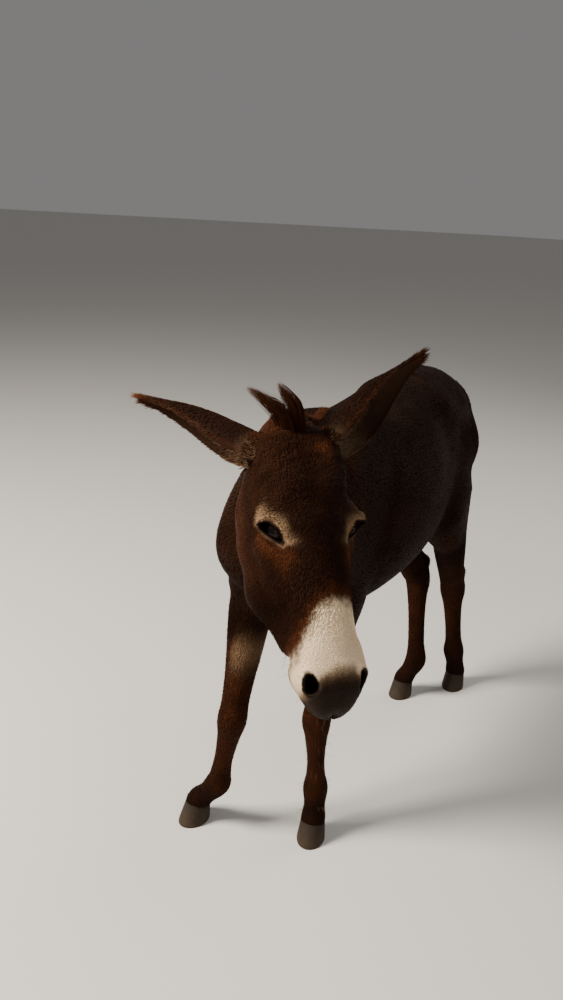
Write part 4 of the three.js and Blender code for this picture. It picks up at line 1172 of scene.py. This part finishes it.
paints["hoof"] = hoofMaterial()
wall = {"around": 64, "levels": 26, "topLength": 0.72, "topWidth": 0.86, "rings": 46, "ripple": 0.22,
        "lip": -1.4, "heel": -6.0, "back": 12}
for name, leg in legs.items():
    around, levels = wall["around"], wall["levels"]
    heights = np.linspace(0, 1, levels)
    turn = np.arange(around) / around * 2 * np.pi
    rows = []
    for t in heights:
        length = mix(hoof["length"], hoof["length"] * wall["topLength"], t) - 1
        width = mix(hoof["width"], hoof["width"] * wall["topWidth"], t) - 1
        grow = wall["ripple"] * np.sin(t * wall["rings"] + 0.6 * np.sin(turn * 2)) * ease(0.02, 0.12, t)
        lip = wall["lip"] * ease(0.06, 0, t)
        heel = wall["heel"] * bell(np.abs(turn - np.pi), 0.16) * ease(0.95, 0.3, t)
        along = np.cos(turn) * (length / 2 + grow + lip + heel) * np.where(np.cos(turn) < 0, 0.9, 1)
        along = along - wall["back"] * t
        across = np.sin(turn) * (width / 2 + grow + lip) * (1 - 0.12 * np.maximum(0, -np.cos(turn)))
        ring = leg["foot"] + along[:, None] * leg["ahead"] + across[:, None] * leg["aside"]
        ring[:, 2] = t * (hoof["coronet"] - 0.3) + t * hoof["tilt"] * along
        rows.append(ring)
    hoofMesh = meshFrom(f"hoof_wall_{name}", np.concatenate(rows), tubeFaces(levels, around))
    closeEnds(hoofMesh, around)
    t = np.repeat(heights, around)
    finished(hoofMesh, np.stack([0.5 + 0.5 * np.sin(t * wall["rings"]), t, 0 * t, 1 + 0 * t], axis=1), "hoof")
    hoofMesh.polygons.foreach_set("use_smooth", [len(p.vertices) < 5 for p in hoofMesh.polygons])
    place(f"hoof_wall_{name}", hoofMesh, "hoof", f"hoof_{name}")
print("hooves placed")

# the coat: short tapered tufts that lie along the body
tuft = {"ring": 0.42, "sink": 0.9, "rise": 0.55, "thick": 0.34, "patch": 0.003}
tuftFaces = np.array([(0, 3, 1), (0, 2, 3), (0, 1, 2), (4, 1, 3), (4, 3, 2), (4, 2, 1)])
tuftPatch = np.array([(-0.5, 0), (0, 0.5), (0, -0.5), (0.2, 0), (0.5, 0)]) * tuft["patch"]
hairLong = {"body": 17.0, "belly": 21.0, "neck": 2.0, "leg": 8.5, "foot": 6.5, "face": 7.6, "jaw": 10.5,
            "brow": 2.5, "muzzle": 3.4, "lids": 3.4}
hairWide = {"body": 2.8, "leg": 1.95, "head": 1.55, "muzzle": 1.0, "lids": 0.9}
hairMany = {"body": 6.9, "leg": 9.4, "head": 14.8, "muzzle": 22.0, "thinned": 0.80, "quick": 0.35}
pieceNames = ["coat_head_left", "coat_head_right", "coat_neck", "coat_shoulders", "coat_barrel_left",
              "coat_barrel_right", "coat_rump_left", "coat_rump_right", "coat_legs_fore", "coat_legs_hind"]


def rooted(mesh, densityAt):
    # Points spread over the mesh, with their normals; density is in points per 100 square mm.
    mesh.calc_loop_triangles()
    corners = np.empty(len(mesh.loop_triangles) * 3, dtype=np.int32)
    mesh.loop_triangles.foreach_get("vertices", corners)
    corners = corners.reshape(-1, 3)
    points = placesOf(mesh)
    normals = np.empty(len(points) * 3, dtype=np.float32)
    mesh.vertices.foreach_get("normal", normals)
    normals = normals.reshape(-1, 3).astype(float)
    a, b, c = (points[corners[:, k]] for k in range(3))
    area = np.linalg.norm(np.cross(b - a, c - a), axis=1) / 2
    wanted = area * densityAt((a + b + c) / 3) / 100
    reached = np.cumsum(wanted)
    count = int(reached[-1])
    picks = np.searchsorted(reached, (np.arange(count) + dice.random(count)) * reached[-1] / count)
    picks = np.minimum(picks, len(corners) - 1)
    u, v = dice.random(count), dice.random(count)
    over = u + v > 1
    u[over], v[over] = 1 - u[over], 1 - v[over]
    share = np.stack([1 - u - v, u, v], axis=1)[:, :, None]
    chosen = corners[picks]
    return (points[chosen] * share).sum(axis=1), unit((normals[chosen] * share).sum(axis=1))


def onSkin(direction, normals):
    return unit(direction - (direction * normals).sum(axis=1)[:, None] * normals)


def lieAt(points, normals, where):
    # The way the coat lies.
    px, py, pz = points.T
    x, y, z = where["face"].T
    low = ease(760, 600, pz)
    lie = np.stack([mix(-1.0, -0.75, low), 0 * px, mix(-0.32, -0.55, low)], axis=1)
    rump = ease(-330, -460, px)[:, None]
    lie = mix(lie, vec(-0.35, 0, -1), rump)
    chest = (ease(330, 420, px) * ease(900, 800, pz))[:, None]
    lie = mix(lie, vec(-0.1, 0, -1), chest)
    lie[:, 1] += 0.25 * chest[:, 0] * np.sign(py - 20)
    lie = mix(lie, vec(-0.86, -0.26, -0.75), where["neck"][:, None])
    lie = mix(lie, vec(-0.12, 0, -1), where["leg"][:, None])
    lie = mix(lie, vec(-0.3, 0, -1), where["tail"][:, None])
    whorl = np.stack([x - 158, 0.9 * y, 0 * x], axis=1)
    whorl = whorl / np.sqrt((whorl ** 2).sum(axis=1) + 300)[:, None]
    cheek = ease(-62, -100, z)[:, None]
    forward = ease(215, 300, x)[:, None]
    side = mix(vec(-0.30, 0, -1), vec(0.75, 0, -0.6), forward)
    face = mix(whorl, side, cheek) @ headAxes
    lie = mix(unit(lie), unit(face), where["head"][:, None])
    for s in sides:
        h, v, _, r = inLocal(points, eye, s)
        middle, run = localFrame(eye, s)[:2]
        away = unit(points - middle - 7 * run)
        share = where["head"] * bell(np.maximum(eyeOpening(h, v, s) - 3, 0), 12) * (r < 60)
        lie = mix(lie, unit(away - 0.25 * run), share[:, None])
        fromEar = np.linalg.norm(points - earRoot(s), axis=1)
        share = where["head"] * bell(np.maximum(fromEar - 38, 0), 14)
        lie = mix(lie, turned(-0.62, s * 0.66, -0.1), share[:, None])
    lie = unit(lie)
    cross = np.cross(normals, lie)
    swirl = 0.26 * grain(points, 46, 21) + 0.16 * grain(points, 15, 22)
    wavy = where["head"] * ease(200, 120, x) * ease(-70, -30, z)
    swirl = swirl + 0.55 * wavy * np.sin(x / 4.2 + 2.2 * grain(points, 26, 23) + y / 17)
    return onSkin(lie + swirl[:, None] * cross, normals)


def shapeAt(points, where):
    # Length, width and tip height of the tufts.
    height = points[:, 2]
    x, _, z = where["face"].T
    long = mix(hairLong["body"], hairLong["belly"], ease(650, 590, height)) + hairLong["neck"] * where["neck"]
    long = mix(long, hairLong["leg"], where["leg"])
    long = mix(long, hairLong["foot"], ease(170, 100, height))
    onFace = mix(hairLong["face"], hairLong["jaw"], ease(-95, -150, z)) + hairLong["brow"] * ease(120, 60, x)
    onFace = mix(onFace, hairLong["muzzle"], ease(320, 395, x))
    long = mix(long, onFace, where["head"])
    wide = mix(mix(hairWide["body"], hairWide["leg"], where["leg"]), hairWide["head"], where["head"])
    wide = mix(wide, hairWide["muzzle"], where["muzzle"])
    near = np.full(len(points), 99.0)
    for side in sides:
        h, v, _, r = inLocal(points, eye, side)
        near = np.minimum(near, np.maximum(eyeOpening(h, v, side), 0) + np.maximum(r - 60, 0))
    close = where["head"] * ease(13, 3, near)
    long = mix(long, hairLong["lids"], close)
    wide = mix(wide, hairWide["lids"], close)
    lift = mix(mix(0.48, 0.72, np.maximum(where["head"], where["leg"])) * depthAt(points, where), 0.9, close)
    return long, wide, lift


def densityAt(points):
    where = regionsOf(points)
    many = mix(mix(hairMany["body"], hairMany["leg"], where["leg"]), hairMany["head"], where["head"])
    many = mix(many, hairMany["muzzle"], where["muzzle"])
    bare = marksAt(points, where)[:, 3]
    many = many * (1 - hairMany["thinned"] * bare)
    for side in sides:
        h, v, _, r = inLocal(points, eye, side)
        many = np.where((eyeOpening(h, v, side) < 1.2) & (r < 34), 0, many)
        c, ring = nostrilPlace(points, side)
        many = np.where((ring < 1.15) & (np.abs(c) < 34), 0, many)
    sole = points[:, 2] < hoof["coronet"] + 3
    return np.where(sole, 0, many) * 1.0


def unwrapped(points, where, name):
    # The root's place on the skin, rolled out round the middle of its part of the body.
    if "head" in name:
        x, y, z = where["face"].T
        around, along = np.arctan2(z + 80, y), x
    elif "legs" in name:
        around, along = np.zeros(len(points)), points[:, 2]
        for k, leg in enumerate(one for one in legs.values() if one["fore"] == ("fore" in name)):
            t = np.clip((leg["top"][2] - points[:, 2]) / (leg["top"][2] - leg["knee"][2]), 0, 1)[:, None]
            d = points - mix(leg["top"], leg["knee"], t)
            mine = np.sign(d[:, 1] + leg["top"][1]) == leg["side"]
            around = np.where(mine, np.arctan2(d @ leg["aside"], d @ leg["ahead"]) + 7 * k, around)
    else:
        around = np.arctan2(points[:, 2] - 820, points[:, 1] - 14)
        along = points[:, 0]
    flat = np.stack([around, along], axis=1)
    flat = (flat - flat.min(axis=0)) / np.ptp(flat, axis=0)
    return 0.01 + 0.98 * flat


def tuftMesh(name, roots, ways, normals, shape, marks, flat, drift):
    long, wide, lift = (s[:, None] for s in shape)
    count = len(roots)
    across = np.cross(normals, ways)
    ring = roots + tuft["ring"] * long * ways + tuft["rise"] * lift * normals + 0.25 * drift
    points = np.stack([
        roots - tuft["sink"] * normals,
        ring + 0.5 * wide * across,
        ring - 0.5 * wide * across,
        ring + tuft["thick"] * wide * normals,
        roots + long * ways + lift * normals + drift,
    ], axis=1).reshape(-1, 3)
    faces = (tuftFaces[None] + 5 * np.arange(count)[:, None, None]).reshape(-1, 3)
    mesh = meshFrom(name, points, faces)
    layer = mesh.uv_layers.new(name="OFBake")
    patch = np.clip(flat, 0.002, 0.998)[:, None, :] + tuftPatch[tuftFaces.ravel()][None]
    layer.data.foreach_set("uv", patch.astype(np.float32).ravel())
    finished(mesh, np.repeat(marks, 5, axis=0), "tufts")
    lock = np.zeros((count, 5, 4))
    lock[:, :, 0] = dice.random(count)[:, None]
    lock[:, :, 1] = [0, 0.45, 0.45, 0.5, 1]
    lock[:, :, 3] = 1
    addMarks(mesh, lock.reshape(-1, 4), "lock")
    place(name, mesh, "coat")


def gathered(points, normals, ways, cell, share):
    # How far each tip leans towards the middle of its lock.
    corner = np.floor(points / cell[:, None])
    key = (corner[:, 0] * 31 + corner[:, 1] * 57 + corner[:, 2] * 113).astype(np.int64)
    jitter = np.stack([((key * k) % 97) / 97 - 0.5 for k in (13, 29, 53)], axis=1)
    toward = (corner + 0.5 + 0.5 * jitter) * cell[:, None] - points
    toward = toward - (toward * normals).sum(axis=1)[:, None] * normals
    toward = toward - (toward * ways).sum(axis=1)[:, None] * ways
    return share[:, None] * toward


roots, rootNormals = rooted(skinMesh, densityAt)
onEar = np.zeros(len(roots), dtype=bool)
for ear in ears.values():
    d = roots - ear["root"]
    along = d @ ear["way"]
    onEar |= (along > 34) & (np.linalg.norm(d - along[:, None] * ear["way"], axis=1) < 75) & (along < 330)
headGap = np.linalg.norm(roots - onHead(90, 0, -80), axis=1)
roots, rootNormals = roots[~onEar | (headGap < 96)], rootNormals[~onEar | (headGap < 96)]
rootWhere = regionsOf(roots)
rootWays = lieAt(roots, rootNormals, rootWhere)
rootShape = shapeAt(roots, rootWhere)
vary = mix(0.72, 1.22, dice.random(len(roots)))
rootShape = (rootShape[0] * vary, rootShape[1] * mix(0.8, 1.2, dice.random(len(roots))),
             rootShape[2] * mix(0.35, 1.0, dice.random(len(roots)) ** 0.8))
rootMarks = marksAt(roots + 1.5 * rootWays * rootShape[0][:, None] * 0.3, rootWhere)
gather = mix(0.26, 0.50, np.maximum(rootWhere["head"], rootWhere["leg"]))
rootDrift = gathered(roots, rootNormals, rootWays, 0.62 * rootShape[0] + 1, gather)
print("tufts rooted", len(roots))
head, neck, leg = rootWhere["head"] > 0.5, rootWhere["neck"] > 0.5, rootWhere["leg"] > 0.5
leftward = np.where(head, rootWhere["face"][:, 1], roots[:, 1] - 14) > 0
part = np.select(
    [head & leftward, head, leg & (roots[:, 0] > -60), leg, neck, roots[:, 0] > 130,
     (roots[:, 0] > -190) & leftward, roots[:, 0] > -190, leftward],
    [0, 1, 8, 9, 2, 3, 4, 5, 6], 7)
for k, name in enumerate(pieceNames):
    chosen = np.nonzero(part == k)[0]
    where = {key: value[chosen] for key, value in rootWhere.items()}
    flat = unwrapped(roots[chosen], where, name)
    tuftMesh(name, roots[chosen], rootWays[chosen], rootNormals[chosen], [s[chosen] for s in rootShape],
             rootMarks[chosen], flat, rootDrift[chosen])
    print(name, len(chosen))

# the coat of the ears
earCoat = {"outer": 4300, "inner": 2200, "fringe": 1600, "tip": 700}
earTufts = {key: [] for key in ("roots", "ways", "normals", "long", "wide", "lift", "marks", "flat", "drift")}


def addEarTufts(ear, count, kind):
    t = dice.random(count)
    spread = dice.random(count) * 2 - 1
    if kind == "fringe":
        t = 0.02 + 0.94 * t ** 1.15
        spread = np.sign(spread) * mix(0.93, 1.0, dice.random(count))
    elif kind == "tip":
        t = mix(0.80, 1.0, dice.random(count) ** 0.8)
    else:
        t = t ** 0.92
    wrap = earWrap(t)
    inner = kind in ("inner", "fringe")
    thick = earHalf(t, spread)
    layer = -thick if inner else thick
    at = earPlace(ear, t, spread * wrap, layer)
    normal = unit(earPlace(ear, t, spread * wrap, layer + (-1 if inner else 1)) - at)
    onward = unit(earPlace(ear, np.minimum(t + 0.01, 1.01), spread * wrap, layer) - at)
    onward = np.where(t[:, None] > 0.985, ear["way"], onward)
    around = unit(earPlace(ear, t, (spread + 0.01) * wrap, layer) - at)
    outward = np.sign(spread)[:, None] * around
    if kind == "outer":
        way = onward + 0.25 * outward * np.abs(spread)[:, None]
        way = way + 0.25 * (dice.random(count)[:, None] - 0.5) * around
        long, wide, lift = mix(11.0, 8.0, t), np.full(count, 1.5), np.full(count, 1.5)
    elif kind == "inner":
        way = 0.8 * onward + 0.5 * outward + 0.35 * normal
        long = 8 + 12 * bell(t - 0.12, 0.22)
        wide, lift = np.full(count, 1.0), mix(5.0, 1.2, ease(0.1, 0.6, t))
    elif kind == "fringe":
        way = 0.9 * onward + 0.42 * outward + 0.4 * (dice.random(count)[:, None] - 0.5) * normal
        long = 5.5 + 7 * bell(t - 0.16, 0.2) + 2 * t
        wide, lift = np.full(count, 1.0), np.full(count, 0.6)
    else:
        way = ear["way"] + 0.6 * (dice.random((count, 3)) - 0.5) + 0.3 * outward
        long, wide, lift = mix(10.0, 21.0, ease(0.80, 0.96, t)), np.full(count, 1.3), np.full(count, 2.4)
    way = onSkin(way, normal)
    long = long * mix(0.7, 1.2, dice.random(count))
    if kind == "fringe":
        marks = earMarks(at, t, np.full(count, 0.75), np.full(count, 0.9))
    else:
        marks = earMarks(at, t, np.full(count, 1.0 if inner else 0.0), np.abs(spread))
    tile = (0.5 if ear["side"] > 0 else 0.0) + (0.25 if inner else 0.0)
    flat = np.stack([tile + 0.01 + 0.23 * (spread + 1) / 2, 0.01 + 0.97 * t], axis=1)
    drift = gathered(at, normal, way, np.full(count, 7.0), np.full(count, 0.4))
    values = (at, way, normal, long, wide, lift * mix(0.4, 1, dice.random(count)), marks, flat, drift)
    for key, value in zip(earTufts, values):
        earTufts[key].append(value)


for ear in ears.values():
    for kind, count in earCoat.items():
        addEarTufts(ear, int(count * (1)), kind)
earTufts = {key: np.concatenate(value) for key, value in earTufts.items()}
tuftMesh("coat_ears", *(earTufts[key] for key in ("roots", "ways", "normals")),
         [earTufts[key] for key in ("long", "wide", "lift")],
         *(earTufts[key] for key in ("marks", "flat", "drift")))
print("ears coated", len(earTufts["roots"]))

# long hair: tapered three-sided locks along curves
def lockMesh(name, curves, radii, marks, *nodes):
    # curves: locks x stations x 3; radii: locks x stations
    count, stations = radii.shape
    along = unit(np.gradient(curves, axis=1))
    aside = unit(np.cross(along, vec(0.31, 0.22, 0.93)))
    up = np.cross(aside, along)
    turn = dice.random(count)[:, None] * 6.28
    rings = []
    for k in range(3):
        angle = (turn + k * 2 * np.pi / 3)[:, :, None]
        rings.append(curves + radii[:, :, None] * (np.cos(angle) * aside + np.sin(angle) * up))
    points = np.stack(rings, axis=2).reshape(-1, 3)
    faces = []
    for s in range(stations - 1):
        for k in range(3):
            a, b = s * 3 + k, s * 3 + (k + 1) % 3
            faces += [(a, b, b + 3), (a, b + 3, a + 3)]
    end = (stations - 1) * 3
    faces += [(0, 2, 1), (end, end + 1, end + 2)]
    faces = (np.array(faces)[None] + 3 * stations * np.arange(count)[:, None, None]).reshape(-1, 3)
    mesh = meshFrom(name, points, faces)
    finished(mesh, np.repeat(marks, 3 * stations, axis=0), "tufts")
    lock = np.zeros((count, stations, 3, 4))
    lock[..., 0] = dice.random(count)[:, None, None]
    lock[..., 1] = np.linspace(0, 1, stations)[None, :, None]
    lock[..., 3] = 1
    addMarks(mesh, lock.reshape(-1, 4), "lock")
    place(name, mesh, "long_hair", *nodes)


def tapered(width, stations, tip=0.12):
    t = np.linspace(0, 1, stations)
    return width[:, None] * np.maximum(tip, np.sqrt(1 - t ** 2.2))[None, :]


def hairMarks(count, russet, pale=0.0, spread=0.25):
    russet = np.clip(russet + spread * (dice.random(count) - 0.5) * 2, 0, 1)
    return np.stack([np.zeros(count), russet, np.clip(pale + 0 * russet, 0, 1), np.zeros(count)], axis=1)


def alongCurve(stations, t):
    # Rows of [point, a, b], read at t from 0 to 1.
    rows = np.array([[*p, a, b] for p, a, b in stations], dtype=float)
    f = np.clip(t, 0, 1) * (len(rows) - 1)
    i = np.minimum(f.astype(int), len(rows) - 2)
    f = (f - i)[..., None]
    a, b, c, d = (rows[np.clip(i + k, 0, len(rows) - 1)] for k in (-1, 0, 1, 2))
    return curveThrough(a, b, c, d, f)


def strands(path, flat, look):
    # Locks that follow one tuft's path and part slightly towards its tip.
    count = int(look["count"] * many)
    fray = look["fray"]
    stops = np.linspace(0, 1, look["stations"])
    ends = mix(*look["reach"], dice.random(count) ** 0.8)
    t = stops[None, :] * ends[:, None]
    rows = alongCurve(path, t)
    middle = rows[..., :3]
    along = unit(np.gradient(middle, axis=1))
    across = unit(flat - (along @ flat)[..., None] * along)
    wide = np.cross(across, along)
    turn = dice.random(count) * 6.28
    far = np.sqrt(dice.random(count))
    wob = 1 + fray * stops[None, :] * (dice.random(count)[:, None] - 0.3)
    a = (rows[..., 3] * (far * np.cos(turn))[:, None] * wob)[..., None]
    b = (rows[..., 4] * (far * np.sin(turn))[:, None] * wob)[..., None]
    curves = middle + a * across + b * wide
    curves += (fray * 2.2 * np.sin(stops * 5 + turn[:, None]))[..., None] * across * stops[None, :, None]
    return curves, tapered(look["radius"] * mix(0.7, 1.3, dice.random(count)), look["stations"])


many = 1.0


def lockPoint(x, y, z):
    return onHead(22 + x, y - 8, z - 26)


forelock = {
    "count": 300, "radius": 0.42, "fray": 1.5, "stations": 8, "reach": (0.36, 1.0), "russet": 0.34,
    "paths": [  # place, half width, half depth
        [(lockPoint(6, 2, -8), 17, 15), (lockPoint(-40, -22, 18), 15, 11), (lockPoint(-65, -50, 22), 11, 6),
         (lockPoint(-89, -78, 20), 8, 3)],
        [(lockPoint(6, 12, -8), 15, 14), (lockPoint(-42, 3, 26), 13, 10), (lockPoint(-66, -14, 37), 9, 6),
         (lockPoint(-86, -30, 42), 6, 3)],
    ],
}
made = [strands(path, turned(0, 0, 1), forelock) for path in forelock["paths"]]
curves, radii = (np.concatenate(v) for v in zip(*made))
lockMesh("forelock_hair", curves, radii, hairMarks(len(curves), forelock["russet"]), "forelock")

# The mane stands along the top of the neck.
mane = {"count": 1500, "stops": 40, "back": vec(250, 26, 900), "front": vec(545, 120, 1030), "width": 15,
        "sunk": 4, "short": 9, "swell": 12, "radius": 1.15, "stations": 5, "russet": 0.45}
crest = []
for t in np.linspace(0.02, 0.98, mane["stops"]):
    start = mix(mane["back"], mane["front"], t)
    for _ in range(60):
        gone = float(skinDistance(start[None])[0])
        if gone > -0.3:
            break
        start = start + max(0.4, -gone * 0.6) * unit([-0.1, 0, 1])
    crest.append(start)
crest.append(onHead(30, 0, -24))
crest = np.array(crest)
count = int(mane["count"] * many)
t = np.sort(dice.random(count)) * (len(crest) - 1.001)
i = t.astype(int)
base = mix(crest[i], crest[i + 1], (t - i)[:, None])
run = unit(crest[np.minimum(i + 1, len(crest) - 1)] - crest[i])
aside = unit(np.cross(upward, run))
rise = np.cross(run, aside)
off = (dice.random(count) - 0.5) * mane["width"]
base = base + off[:, None] * aside - mane["sunk"] * rise
shareAlong = t / len(crest)
swell = np.sqrt(np.sin(np.pi * np.clip(0.08 + 0.84 * shareAlong, 0, 1)))
tall = (mane["short"] + mane["swell"] * swell) * mix(0.7, 1.05, dice.random(count))
bend = (off / mane["width"])[:, None] * aside * 0.5 - 0.35 * run
bend = bend + 0.3 * (dice.random((count, 1)) - 0.5) * aside
s = np.linspace(0, 1, mane["stations"])[None, :, None]
curves = base[:, None] + tall[:, None, None] * (s * rise[:, None] + s ** 2 * bend[:, None])
radii = tapered(np.full(count, mane["radius"]), mane["stations"])
lockMesh("mane_hair", curves, radii, hairMarks(count, mane["russet"]), "mane")

# tail tassel: long locks round the end of the dock
tassel = {
    "count": 420, "radius": 1.6, "fray": 0.25, "stations": 12, "reach": (0.55, 1.0), "russet": 0.16,
    "path": [(tail["root"] + vec(x, y, z), a, b) for x, y, z, a, b in (
        (-64, 30, -262, 10, 10), (-66, 36, -311, 13, 12), (-70, 46, -390, 23, 19), (-74, 54, -480, 26, 22),
        (-76, 60, -570, 17, 15), (-76, 62, -634, 5, 5))],
}
curves, radii = strands(tassel["path"], sideways, tassel)
lockMesh("tail_hair", curves, radii, hairMarks(len(curves), tassel["russet"]), "tail_tassel")

# whiskers and lashes
whiskers = {"count": int(90 * many), "length": 24, "radius": 0.22, "stations": 5}
picked = np.nonzero((rootWhere["muzzle"] > 0.8) & (rootWhere["face"][:, 2] < -84))[0]
picked = picked[dice.permutation(len(picked))[:whiskers["count"]]]
count = len(picked)
way = unit(rootNormals[picked] + 0.35 * (dice.random((count, 3)) - 0.5) + 0.3 * noseWay)
long = whiskers["length"] * mix(0.5, 1.15, dice.random(count))
s = np.linspace(0, 1, whiskers["stations"])[None, :, None]
curves = roots[picked][:, None] + long[:, None, None] * (s * way[:, None] - 0.22 * s ** 2 * upward)
radii = tapered(np.full(count, whiskers["radius"]), whiskers["stations"])
lockMesh("whiskers", curves, radii, hairMarks(count, 0.05, 0.35))

lashes = {"count": 30, "length": 13.5, "radius": 0.30, "out": 22.0, "over": 0.8}
curves = []
for side in sides:
    middle, run, rise, out = localFrame(eye, side)
    for u in np.linspace(0.10, 0.84, lashes["count"]):
        h = mix(eye["outer"], eye["inner"], u)
        droop, leaf = lidLine(u)
        v = droop + eye["above"] * leaf + lashes["over"]
        n = math.sqrt(max(40, lashes["out"] ** 2 - h * h - v * v))
        start = middle + h * run + v * rise + n * out
        way = unit(0.95 * out - 0.30 * rise + 0.012 * h * run + 0.2 * (dice.random(3) - 0.5))
        s = np.linspace(0, 1, 6)[:, None]
        size = lashes["length"] * (0.8 + 0.4 * dice.random())
        curves.append(start + size * (s * way + 0.28 * s ** 2 * rise - 0.2 * s ** 2 * out))
curves = np.array(curves)
radii = tapered(np.full(len(curves), lashes["radius"]), 6)
lockMesh("lashes", curves, radii, hairMarks(len(curves), 0.0))
print("long hair placed")

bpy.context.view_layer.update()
triangles = 0
for o in bpy.data.objects:
    if o.type == "MESH" and not o.hide_render:
        o.data.calc_loop_triangles()
        triangles += len(o.data.loop_triangles)
print("triangles", triangles)
